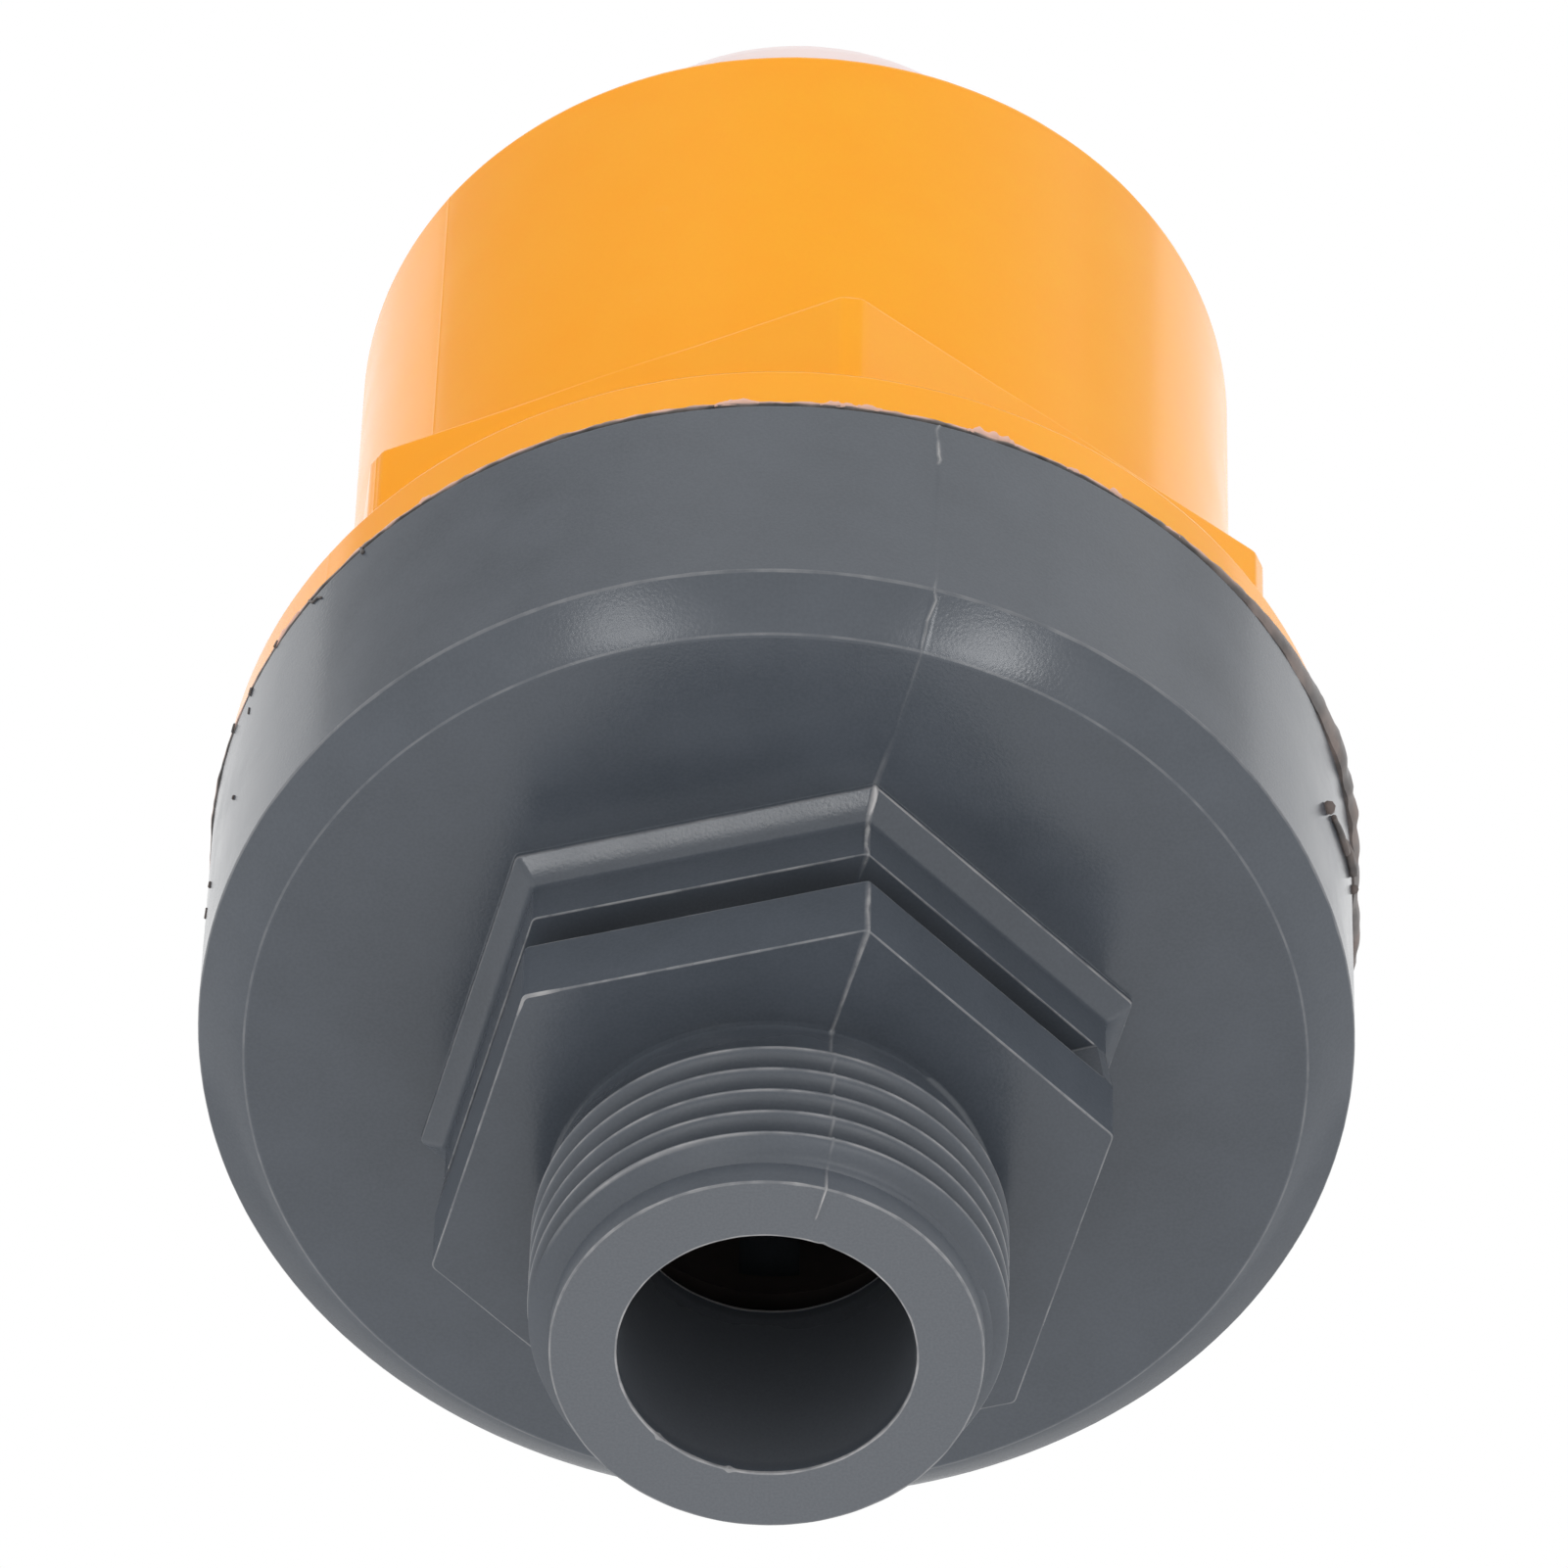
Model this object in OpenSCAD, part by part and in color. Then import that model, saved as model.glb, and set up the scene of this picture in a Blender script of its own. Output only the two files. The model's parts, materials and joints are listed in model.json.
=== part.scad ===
// Combination air release valve in moulded plastic: a threaded base and an upper shell, spin-welded
// together round a float, a kinetic plug and the cage that guides them, under a snap-on vent cap.
// Millimetres, +Z up. The origin is the centre of the inlet's end face.

/* [Inlet nozzle] */
// Major diameter of the inlet pipe thread, G 3/4
thread_d = 26.44; // [25:0.02:28]
// Diameter of the plain pilot below the thread
pilot_d = 23.84; // [22:0.02:24.4]
// Length of the pilot
pilot_len = 2.2; // [1.6:0.1:3]
// Rise of the cone that leads from the pilot to the thread
thread_lead = 0.8; // [0.4:0.1:1.4]
// Length of the thread with its lead-in
thread_len = 9.4; // [8:0.1:10]
// Diameter of the relief between the thread and the hexagon
relief_d = 24.4; // [23:0.1:25]
// Length of the nozzle, from its end face to the hexagon
nozzle_len = 13.8; // [13.2:0.1:18]
// Diameter of the inlet bore
bore_d = 16.4; // [12:0.1:18]
// Length of the straight inlet bore
bore_len = 14.6; // [12:0.1:16]
// Diameter of the cavity that the bore opens into
cavity_d = 22; // [21:0.1:24]

/* [Wrench hexagon] */
// Width across the flats of the lower plate
hex_af = 33.8; // [32:0.1:37]
// How much narrower the upper plate is, for mould draft
hex_draft = 0.7; // [0.2:0.1:1.2]
// Height of each plate
plate_h = 4.6; // [3:0.1:6]
// Height of the slot between the plates
slot_h = 3; // [2:0.1:4]
// Wall that is left between the slot and the cavity
core_wall = 3.2; // [2:0.1:4]
// Width of the two webs that join the plates at opposite corners
web_w = 1.4; // [1:0.1:4]
// Height of the flare where the upper plate runs into the dish
flare_h = 1.7; // [1:0.1:2.6]
// How far the flare spreads on each side
flare_out = 1.3; // [0.6:0.1:2]
// Height of the lip that the flare ends in
flare_lip = 0.3; // [0.1:0.05:0.6]
// Turn of the hexagon about the axis, in degrees
hex_turn = 14.3; // [0:0.1:60]

/* [Base dish] */
// Outer diameter of the rim
rim_d = 65; // [63:0.1:72]
// Radial width of the bevel round the bottom edge
bevel_w = 2.7; // [1.5:0.1:3.4]
// Height of the bevel
bevel_h = 2.4; // [1.5:0.1:3.4]
// Thickness of the rim wall
rim_wall = 3.5; // [2.6:0.1:4]
// Thickness of the dish's floor
floor_t = 3; // [2:0.1:4]
// Height from the bottom face to the weld line
rim_h = 18.6; // [16:0.1:24]
// Depth of the groove that the weld flash fills
weld_groove = 0.6; // [0.4:0.05:0.8]
// How far the weld flash stands proud of the rim
flash_proud = 0.35; // [0.2:0.05:0.6]

/* [Upper shell] */
// Outer diameter of the round wall
body_d = 51.4; // [49:0.1:53]
// Height from the weld line to the top of the roof
body_h = 46; // [43:0.1:60]
// Thickness of the round wall
body_wall = 3; // [2.4:0.1:3.6]
// Thickness of the roof
roof_t = 3.5; // [3:0.1:5]
// Radius of the edge round the roof
roof_edge = 0.4; // [0.2:0.1:1.6]
// Height of the flange above the weld line
flange_h = 3.9; // [3.4:0.1:6]
// How far the flange sits inside the rim
flange_step = 0.2; // [0.1:0.05:0.4]
// How far the flange tapers in on each side
flange_taper = 0.2; // [0.1:0.1:1.8]
// Height of the hexagon collar above the flange
collar_h = 11.7; // [8:0.1:14]
// How far the collar's flats stand proud of the wall
collar_proud = 0.1; // [0.05:0.05:0.4]
// How much is rounded off the collar's corners
collar_round = 0.4; // [0.1:0.05:0.8]
// Turn of the collar about the axis, in degrees
collar_turn = 5.9; // [0:0.1:60]
// Thickness of the skirt that centres the shell in the rim
skirt_t = 1.6; // [1:0.1:2]
// How far the skirt reaches below the weld line
skirt_drop = 3.6; // [2:0.1:5]
// How far the plug's guide ribs stand in from the wall
guide_t = 0.45; // [0.3:0.05:0.6]
// Width of a guide rib
guide_w = 1.6; // [1:0.1:2.4]

/* [Outlet and vent cap] */
// Outer diameter of the outlet spigot
spigot_d = 24; // [23.4:0.1:27]
// Height of the spigot above the roof
spigot_h = 9.5; // [8:0.1:14]
// Diameter of the hole through the roof and the spigot
outlet_d = 19; // [18:0.1:19.6]
// How far the snap bead stands out of the spigot
bead_out = 0.6; // [0.3:0.05:0.8]
// Height of the snap bead
bead_h = 1.4; // [1:0.1:2]
// How far the bead lies below the spigot's top
bead_drop = 1.6; // [1:0.1:2.4]
// Width of the air gap between the spigot and the cap
vent_gap = 1.4; // [1.2:0.1:2.4]
// Thickness of the cap's skirt
cap_wall = 1.8; // [1.2:0.1:2.4]
// Thickness of the cap's top
cap_top_t = 2.4; // [1.6:0.1:3.4]
// Height of the air gap between the roof and the cap
cap_gap = 3.1; // [2:0.1:4]
// Height of the ribs between the screen and the cap's top
cap_rib_h = 5.2; // [3:0.1:7]
// Width of the cap's ribs
cap_rib_w = 1.4; // [1:0.1:2]
// Radius of the edge round the cap
cap_edge = 0.8; // [0.4:0.1:1.6]
// Width of a snap hook
hook_w = 6; // [4:0.1:8]
// Height of a snap hook
hook_h = 1.6; // [1:0.1:2]
// Thickness of the insect screen
screen_t = 0.6; // [0.4:0.05:0.9]
// Spacing of the screen's wires
screen_pitch = 2; // [1.6:0.1:3]
// Width of the screen's wires
screen_wire = 0.5; // [0.3:0.05:0.8]

/* [Large orifice] */
// Diameter of the large orifice
orifice_d = 14; // [12:0.1:15]
// How far the seat's flange reaches beyond the outlet
seat_flange = 3.5; // [3:0.1:5]
// Thickness of the seat's flange
seat_flange_t = 1.7; // [1.2:0.1:2.4]
// Height of the seat's neck in the outlet
seat_neck_h = 5; // [3.6:0.1:7]
// Height of the sealing lip
lip_h = 0.6; // [0.4:0.05:1]
// Width of the sealing lip
lip_w = 1.2; // [0.8:0.05:1.6]
// Distance from the orifice's edge to the middle of the lip
lip_in = 1.6; // [1.2:0.05:2]
// Cord diameter of the seat's O-ring
seat_cord = 1.5; // [1:0.05:1.8]

/* [Kinetic plug] */
// Travel of the plug
plug_travel = 8.6; // [6:0.1:10]
// Width of the plug's rubber ring
seal_w = 5.2; // [4:0.1:6]
// Thickness of the plug's rubber ring
seal_t = 1.6; // [1.2:0.1:2.2]
// How far the rubber ring stands proud of the plug
seal_proud = 0.6; // [0.3:0.05:0.8]
// Thickness of the plug's top plate
plug_plate_t = 2; // [1.4:0.1:3]
// Thickness of the plug's bell
bell_wall = 2; // [1.4:0.1:2.6]
// Height of the plug's top above the underside of its flange
plug_rise = 7.4; // [6.6:0.1:9]
// Thickness of the plug's flange
plug_flange_t = 2; // [1.4:0.1:2.6]
// Width of the spokes between the flange's air windows
spoke_w = 3; // [2:0.1:4]

/* [Small orifice] */
// Diameter of the small orifice
nozzle_hole_d = 1.6; // [1:0.1:2.4]
// Diameter of the nozzle's shank
shank_d = 6.4; // [5:0.1:7]
// Diameter of the nozzle's flange
nozzle_flange_d = 11; // [10.4:0.1:12]
// Thickness of the nozzle's flange
nozzle_flange_t = 1.2; // [0.8:0.1:2]
// Height of the nozzle's tip
tip_h = 0.6; // [0.4:0.1:1]
// Cord diameter of the nozzle's O-ring
nozzle_cord = 1.2; // [0.8:0.05:1.3]

/* [Float] */
// Travel of the float in the plug
float_travel = 2.4; // [1.6:0.1:3]
// Height of the lower shell
float_cup_h = 17; // [13:0.1:19]
// Wall of the float
float_wall = 1.4; // [1:0.1:2]
// Bevel round the float's ends
float_bevel = 3; // [2:0.1:4]
// Height of the lip that centres the two shells
float_lip_h = 2; // [1.4:0.1:3]
// Diameter of the stem
stem_d = 6; // [5:0.1:7]
// Length of the stem in its socket
stem_socket = 5; // [4:0.1:7]
// Diameter of the stem's head
head_d = 12.6; // [11.6:0.1:13.2]
// Thickness of the stem's head
head_t = 2; // [1.7:0.1:2.6]
// Diameter of the rubber nib
nib_d = 5.4; // [4.6:0.1:6.4]
// Depth of the nib's pocket
nib_depth = 1.2; // [0.8:0.1:1.4]
// How far the nib stands proud of the head
nib_proud = 0.5; // [0.3:0.05:0.8]
// Thickness of the retainer clip
clip_t = 1.4; // [1:0.1:2]
// Width of the retainer clip
clip_w = 14; // [13.4:0.1:15]
// Rim of the bell below the clip
bell_rim = 1.2; // [0.8:0.1:2]

/* [Float cage] */
// Thickness of the cage's floor
cage_floor_t = 2; // [1.4:0.1:3]
// Thickness of the cage's posts and rings
cage_post_t = 1.6; // [1.2:0.1:2]
// Width of the cage's posts
cage_post_w = 5; // [3:0.1:7]
// Height of the cage's top ring
cage_ring_h = 2; // [1.4:0.1:3]
// Reach of the lugs that are clamped under the shell's shoulder
lug_reach = 3; // [2:0.1:3.4]
// Wall of the sleeve that stands in the inlet cavity
sleeve_wall = 1.4; // [1:0.1:1.8]
// Width of the sleeve's slots
sleeve_slot_w = 3.4; // [2.6:0.1:4]
// Height of the plain ring at the sleeve's foot
sleeve_foot = 1.6; // [1:0.1:2.4]

/* [Clearances] */
// Between pieces that are fixed to each other
fixed_gap = 0.05; // [0.02:0.01:0.1]
// Between a fixed insert and the shell that it slips into
insert_gap = 0.2; // [0.1:0.05:0.4]
// Left between two faces that meet at the end of a travel
stop_gap = 0.1; // [0.05:0.05:0.3]
// Between the plug and its guide ribs
plug_gap = 0.25; // [0.15:0.05:0.5]
// Between the float and the cage's posts
float_gap = 0.6; // [0.4:0.1:1]
// Between the float and the cage's floor, and over the float
float_end_gap = 1.4; // [0.5:0.1:2]

/* [Hidden] */
$fn = 96;

posts = 6;
cap_ribs = 6;
sleeve_slots = 8;
arc_steps = 4;
// Overlap of shapes that are joined or cut, so that no faces coincide
eps = 0.5;

// Heights of the base
z_hex = nozzle_len;
z_slot = z_hex + plate_h;
z_plate = z_slot + slot_h;
z_floor = z_plate + plate_h;
z_dish = z_floor + floor_t;
z_weld = z_floor + rim_h;
z_cavity = bore_len + (cavity_d - bore_d) / 2;

// Heights of the upper shell
z_flange = z_weld + flange_h;
z_shoulder = z_flange - body_wall;
z_collar = z_flange + collar_h;
z_top = z_weld + body_h;
z_roof = z_top - roof_t;
z_spigot = z_top + spigot_h;
z_bead = z_spigot - bead_drop - bead_h;
z_screen = z_spigot + screen_t;
z_cap_foot = z_top + cap_gap;
z_cap_under = z_screen + cap_rib_h;
z_cap_top = z_cap_under + cap_top_t;

// Heights of the mechanism, from the seat down, with the valve empty
z_seat = z_roof - seat_flange_t;
z_lip = z_seat - lip_h;
z_seal_top = z_lip - stop_gap - plug_travel;
z_seal = z_seal_top - seal_t;
z_plug_top = z_seal_top - seal_proud;
z_plate_under = z_seal - plug_plate_t;
z_plug_flange = z_plug_top - plug_rise;
z_nozzle_flange = z_plate_under - nozzle_flange_t;
z_tip = z_nozzle_flange - tip_h;
z_nib_top = z_tip - stop_gap - float_travel;
z_head_top = z_nib_top - nib_proud;
z_head = z_head_top - head_t;
z_clip = z_head - stop_gap - clip_t;
z_bell = z_clip - bell_rim;
z_float_top = z_bell - float_travel - float_end_gap;
z_cage_floor = z_dish + cage_floor_t;
z_cage_top = z_plug_flange - stop_gap;
z_float = z_cage_floor + float_end_gap;
z_float_joint = z_float + float_cup_h;

// Radii
thread_r = thread_d / 2;
rim_r = rim_d / 2;
dish_r = rim_r - rim_wall;
cavity_r = cavity_d / 2;
body_r = body_d / 2;
inner_r = body_r - body_wall;
skirt_r = dish_r - insert_gap;
spigot_r = spigot_d / 2;
outlet_r = outlet_d / 2;
cap_inner_r = spigot_r + vent_gap;
cap_r = cap_inner_r + cap_wall;
screen_r = spigot_r - fixed_gap;
lip_r = orifice_d / 2 + lip_in;
seal_r = lip_r + seal_w / 2;
bell_r = seal_r + fixed_gap + bell_wall / 2;
bell_inner_r = bell_r - bell_wall;
plug_r = inner_r - guide_t - plug_gap;
cage_r = inner_r - insert_gap;
cage_inner_r = cage_r - cage_post_t;
float_r = cage_inner_r - float_gap;
sleeve_r = cavity_r - insert_gap;
socket_wall = 2;
groove_room = 0.4;

// A quarter turn of points round a centre, from the +X side to the +Z side
function edge_arc(x, z, r) = [
    for (i = [0:arc_steps])
        let (turn = 90 * i / arc_steps)
            [x + r * cos(turn), z + r * sin(turn)]
];

// A hexagon plate with a corner at the turn angle, counted from the -Y side
module hex_plate(af, turn, h) {
    rotate(turn - 90) cylinder(d = af / cos(30), h = h, $fn = 6);
}

// A hexagon that flares out where the upper plate runs into the dish. It starts a hair outside the plate.
module hex_flare(af, turn) {
    low = af / 2 + fixed_gap;
    high = af / 2 + flare_out;
    span = 4 * high;
    lip_base = flare_h - flare_lip;
    intersection_for (k = [0:2])
        rotate(turn - 60 + 60 * k)
            translate([0, span / 2, 0])
                rotate([90, 0, 0])
                    linear_extrude(span)
                        polygon([
                            [-low, 0], [low, 0], [high, lip_base], [high, flare_h + eps],
                            [-high, flare_h + eps], [-high, lip_base]
                        ]);
}

// A flat ring between two radii
module ring(r_out, r_in, h) {
    linear_extrude(h) difference() {
        circle(r_out);
        circle(r_in);
    }
}

// An O-ring about the axis
module o_ring(r_mid, cord) {
    rotate_extrude() translate([r_mid, 0]) circle(d = cord);
}

// Copies round the axis
module around(count) {
    for (k = [0:count - 1]) rotate(360 * k / count) children();
}

// The flat shape of the windows between spokes
module windows_2d(r_out, r_in, count, spoke) {
    difference() {
        circle(r_out);
        circle(r_in);
        around(count) translate([0, -spoke / 2]) square([r_out + eps, spoke]);
    }
}

// Nozzle with the thread as a plain cylinder at its major diameter
module nozzle_outline() {
    z_run_out = pilot_len + thread_len;
    run_out = thread_r - relief_d / 2;
    rotate_extrude() polygon([
        [0, 0], [pilot_d / 2, 0], [pilot_d / 2, pilot_len], [thread_r, pilot_len + thread_lead],
        [thread_r, z_run_out], [relief_d / 2, z_run_out + run_out], [relief_d / 2, z_hex + eps],
        [0, z_hex + eps]
    ]);
}

// Slot round the hexagon, left open at the parting line and webbed at two opposite corners
module hex_slot() {
    translate([0, 0, z_slot]) difference() {
        hex_plate(hex_af + 2 * eps, hex_turn, slot_h);
        translate([0, 0, -eps]) cylinder(r = cavity_r + core_wall, h = slot_h + 2 * eps);
        for (side = [0, 180])
            rotate(hex_turn - 30 + side)
                translate([0, -web_w / 2, -eps]) cube([hex_af, web_w, slot_h + 2 * eps]);
    }
}

module dish_outline() {
    rotate_extrude() polygon([
        [0, z_floor], [rim_r - bevel_w, z_floor], [rim_r, z_floor + bevel_h], [rim_r, z_weld - weld_groove],
        [rim_r - weld_groove, z_weld], [dish_r, z_weld], [dish_r, z_dish], [0, z_dish]
    ]);
}

module inlet_base() {
    upper_af = hex_af - hex_draft;
    half_h = plate_h + slot_h / 2;
    color("slategray") difference() {
        union() {
            nozzle_outline();
            translate([0, 0, z_hex]) hex_plate(hex_af, hex_turn, half_h);
            translate([0, 0, z_slot + slot_h / 2]) hex_plate(upper_af, hex_turn, half_h + eps);
            translate([0, 0, z_floor - flare_h]) hex_flare(upper_af, hex_turn);
            dish_outline();
        }
        translate([0, 0, -eps]) cylinder(d = bore_d, h = bore_len + 2 * eps);
        translate([0, 0, bore_len]) cylinder(d1 = bore_d, d2 = cavity_d, h = z_cavity - bore_len);
        translate([0, 0, z_cavity]) cylinder(r = cavity_r, h = z_dish - z_cavity + eps);
        hex_slot();
    }
}

module shell_outline() {
    flange_r = rim_r - flange_step;
    bead_slope = bead_out;
    rotate_extrude() polygon(concat(
        [
            [0, z_weld], [rim_r - weld_groove, z_weld], [flange_r, z_weld + weld_groove],
            [flange_r - flange_taper, z_flange], [body_r, z_flange]
        ],
        edge_arc(body_r - roof_edge, z_top - roof_edge, roof_edge),
        [
            [spigot_r, z_top], [spigot_r, z_bead], [spigot_r + bead_out, z_bead],
            [spigot_r + bead_out, z_bead + bead_h - bead_slope], [spigot_r, z_bead + bead_h],
            [spigot_r, z_spigot], [0, z_spigot]
        ]
    ));
}

// Collar with its corners trimmed round
module collar() {
    af = body_d + 2 * collar_proud;
    corner_r = af / 2 / cos(30) - collar_round;
    intersection() {
        translate([0, 0, z_flange - eps]) hex_plate(af, collar_turn, collar_h + eps);
        translate([0, 0, z_flange - 2 * eps]) cylinder(r = corner_r, h = collar_h + 4 * eps);
    }
}

module shell_hollow() {
    skirt_inner_r = skirt_r - skirt_t;
    chamfer = body_wall / 2;
    rotate_extrude() polygon([
        [0, z_weld - skirt_drop - eps], [skirt_inner_r, z_weld - skirt_drop - eps],
        [skirt_inner_r, z_shoulder], [inner_r + chamfer, z_shoulder], [inner_r, z_shoulder + chamfer],
        [inner_r, z_roof], [0, z_roof]
    ]);
}

module upper_body() {
    groove_r = outlet_r + seat_cord + groove_room;
    guide_foot = z_cage_top + plug_flange_t;
    color("orange") union() {
        difference() {
            union() {
                shell_outline();
                collar();
                translate([0, 0, z_weld - skirt_drop]) ring(skirt_r, skirt_r - skirt_t, skirt_drop + eps);
            }
            shell_hollow();
            translate([0, 0, z_roof - eps]) cylinder(r = outlet_r, h = z_spigot - z_roof + 2 * eps);
            translate([0, 0, z_roof - eps]) cylinder(r = groove_r, h = eps + seat_cord + fixed_gap);
        }
        around(posts)
            translate([inner_r - guide_t, -guide_w / 2, guide_foot])
                cube([guide_t + body_wall / 2, guide_w, z_roof - guide_foot + eps]);
    }
}

module weld_flash() {
    bead = weld_groove - fixed_gap;
    color("sienna") rotate_extrude() polygon([
        [rim_r - bead, z_weld], [rim_r - flange_step, z_weld - bead + flange_step],
        [rim_r + flash_proud, z_weld - bead / 2], [rim_r + flash_proud, z_weld + bead / 2],
        [rim_r - flange_step, z_weld + bead - flange_step]
    ]);
}

// Upright tube with a window between each two posts
module cage_posts() {
    tube_base = z_cage_floor - cage_floor_t / 2;
    difference() {
        translate([0, 0, tube_base]) ring(cage_r, cage_inner_r, z_cage_top - tube_base);
        translate([0, 0, z_cage_floor])
            linear_extrude(z_cage_top - cage_ring_h - z_cage_floor)
                windows_2d(cage_r + eps, cage_inner_r - eps, posts, cage_post_w);
    }
}

// Lug on a post, which the shell's shoulder clamps
module cage_lug() {
    lug_base = cage_r - cage_post_t / 2;
    lug_w = cage_post_w - cage_post_t;
    translate([lug_base, -lug_w / 2, z_shoulder - fixed_gap - cage_ring_h])
        cube([cage_r + lug_reach - lug_base, lug_w, cage_ring_h]);
}

// Sleeve that stands in the inlet cavity, slotted so that water and air pass it
module cage_sleeve() {
    sleeve_base = z_cavity + insert_gap;
    sleeve_top = z_cage_floor - cage_floor_t / 2;
    slot_base = sleeve_base + sleeve_foot;
    difference() {
        translate([0, 0, sleeve_base]) ring(sleeve_r, sleeve_r - sleeve_wall, sleeve_top - sleeve_base);
        around(sleeve_slots)
            translate([sleeve_r - sleeve_wall - eps, -sleeve_slot_w / 2, slot_base])
                cube([sleeve_wall + 2 * eps, sleeve_slot_w, z_dish - sleeve_foot - slot_base]);
    }
}

module float_cage() {
    rim_w = 2 * cage_post_t;
    color("dimgray") union() {
        translate([0, 0, z_dish]) linear_extrude(cage_floor_t) difference() {
            circle(skirt_r);
            circle(sleeve_r - sleeve_wall / 2);
            windows_2d(cage_inner_r - cage_post_t, sleeve_r + cage_post_t, posts, cage_post_w);
            windows_2d(skirt_r - rim_w, cage_r + cage_post_t, posts, cage_post_w);
        }
        cage_sleeve();
        cage_posts();
        around(posts) cage_lug();
    }
}

module orifice_seat() {
    neck_r = outlet_r - fixed_gap;
    flange_r = outlet_r + seat_flange;
    color("ivory") rotate_extrude() polygon([
        [orifice_d / 2, z_seat], [lip_r - lip_w / 2, z_seat], [lip_r - lip_w / 2, z_lip],
        [lip_r + lip_w / 2, z_lip], [lip_r + lip_w / 2, z_seat], [flange_r, z_seat],
        [flange_r, z_roof - fixed_gap], [neck_r, z_roof - fixed_gap],
        [neck_r, z_roof + seat_neck_h], [orifice_d / 2, z_roof + seat_neck_h]
    ]);
}

module seat_o_ring() {
    color("black")
        translate([0, 0, z_roof + seat_cord / 2])
            o_ring(outlet_r + seat_cord / 2 + fixed_gap, seat_cord - fixed_gap);
}

module vent_screen() {
    frame_w = spigot_r - outlet_r;
    wires = floor(screen_r / screen_pitch);
    color("silver") translate([0, 0, z_spigot]) linear_extrude(screen_t) union() {
        difference() {
            circle(screen_r);
            circle(screen_r - frame_w);
        }
        intersection() {
            circle(screen_r - frame_w / 2);
            union() {
                for (k = [-wires:wires], turn = [0, 90])
                    rotate(turn)
                        translate([k * screen_pitch - screen_wire / 2, -screen_r])
                            square([screen_wire, 2 * screen_r]);
            }
        }
    }
}

module vent_cap() {
    hook_top = z_bead - insert_gap;
    rib_r = outlet_r - cap_rib_w;
    color("white") union() {
        rotate_extrude() polygon(concat(
            [[cap_inner_r, z_cap_foot], [cap_r, z_cap_foot]],
            edge_arc(cap_r - cap_edge, z_cap_top - cap_edge, cap_edge),
            [[0, z_cap_top], [0, z_cap_under], [cap_inner_r, z_cap_under]]
        ));
        around(cap_ribs)
            translate([rib_r, -cap_rib_w / 2, z_screen + fixed_gap])
                cube([cap_inner_r - rib_r + cap_wall / 2, cap_rib_w, cap_rib_h + cap_top_t / 2]);
        rotate(180 / cap_ribs) around(cap_ribs) intersection() {
            translate([0, 0, hook_top - hook_h])
                ring(cap_inner_r + cap_wall / 2, spigot_r + insert_gap, hook_h);
            translate([0, -hook_w / 2, hook_top - hook_h]) cube([cap_r, hook_w, hook_h]);
        }
    }
}

module kinetic_plug() {
    seal_inner_r = seal_r - seal_w;
    hub_r = bell_r + spoke_w;
    shank_hole_d = shank_d + 2 * fixed_gap;
    groove_d = shank_d + 2 * nozzle_cord + groove_room;
    color("gainsboro") difference() {
        union() {
            translate([0, 0, z_bell]) cylinder(r = bell_r, h = z_plug_top - z_bell);
            translate([0, 0, z_plug_flange]) linear_extrude(plug_flange_t) difference() {
                circle(plug_r);
                windows_2d(cage_inner_r - stop_gap, hub_r, posts, spoke_w);
            }
        }
        translate([0, 0, z_bell - eps]) cylinder(r = bell_inner_r, h = z_plate_under - z_bell + eps);
        translate([0, 0, z_seal]) ring(seal_r + fixed_gap, seal_inner_r - fixed_gap, seal_t);
        translate([0, 0, z_plate_under - eps]) {
            cylinder(d = shank_hole_d, h = z_plug_top - z_plate_under + 2 * eps);
            cylinder(d = groove_d, h = eps + nozzle_cord + fixed_gap);
        }
        translate([-bell_r - eps, -clip_w / 2 - fixed_gap, z_clip - fixed_gap])
            cube([2 * bell_r + 2 * eps, clip_w + 2 * fixed_gap, clip_t + 2 * fixed_gap]);
    }
}

module plug_seal() {
    color("black")
        translate([0, 0, z_seal + fixed_gap]) ring(seal_r, seal_r - seal_w, seal_t - fixed_gap);
}

module air_nozzle() {
    hole_r = nozzle_hole_d / 2;
    tip_r = hole_r + tip_h;
    color("goldenrod") rotate_extrude() polygon([
        [hole_r, z_tip], [tip_r, z_tip], [tip_r + tip_h, z_nozzle_flange],
        [nozzle_flange_d / 2, z_nozzle_flange],
        [nozzle_flange_d / 2, z_plate_under - fixed_gap], [shank_d / 2, z_plate_under - fixed_gap],
        [shank_d / 2, z_plug_top], [hole_r, z_plug_top]
    ]);
}

module nozzle_o_ring() {
    color("black")
        translate([0, 0, z_plate_under + nozzle_cord / 2])
            o_ring(shank_d / 2 + nozzle_cord / 2 + fixed_gap, nozzle_cord - fixed_gap);
}

// Horseshoe clip that slides through the bell's windows, open on the +X side
module retainer_clip() {
    mouth_w = stem_d + 2 * insert_gap;
    color("silver") translate([0, 0, z_clip]) linear_extrude(clip_t) difference() {
        intersection() {
            circle(bell_r);
            square([2 * bell_r, clip_w], center = true);
        }
        circle(d = mouth_w);
        translate([0, -mouth_w / 2]) square([bell_r + eps, mouth_w]);
    }
}

module float_lower_shell() {
    skin = float_r - float_wall;
    floor_top = z_float + 1.5 * float_wall;
    color("dimgray") rotate_extrude() polygon([
        [0, z_float], [float_r - float_bevel, z_float], [float_r, z_float + float_bevel],
        [float_r, z_float_joint], [skin, z_float_joint], [skin, floor_top + float_bevel - float_wall],
        [skin - float_bevel, floor_top], [0, floor_top]
    ]);
}

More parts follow.
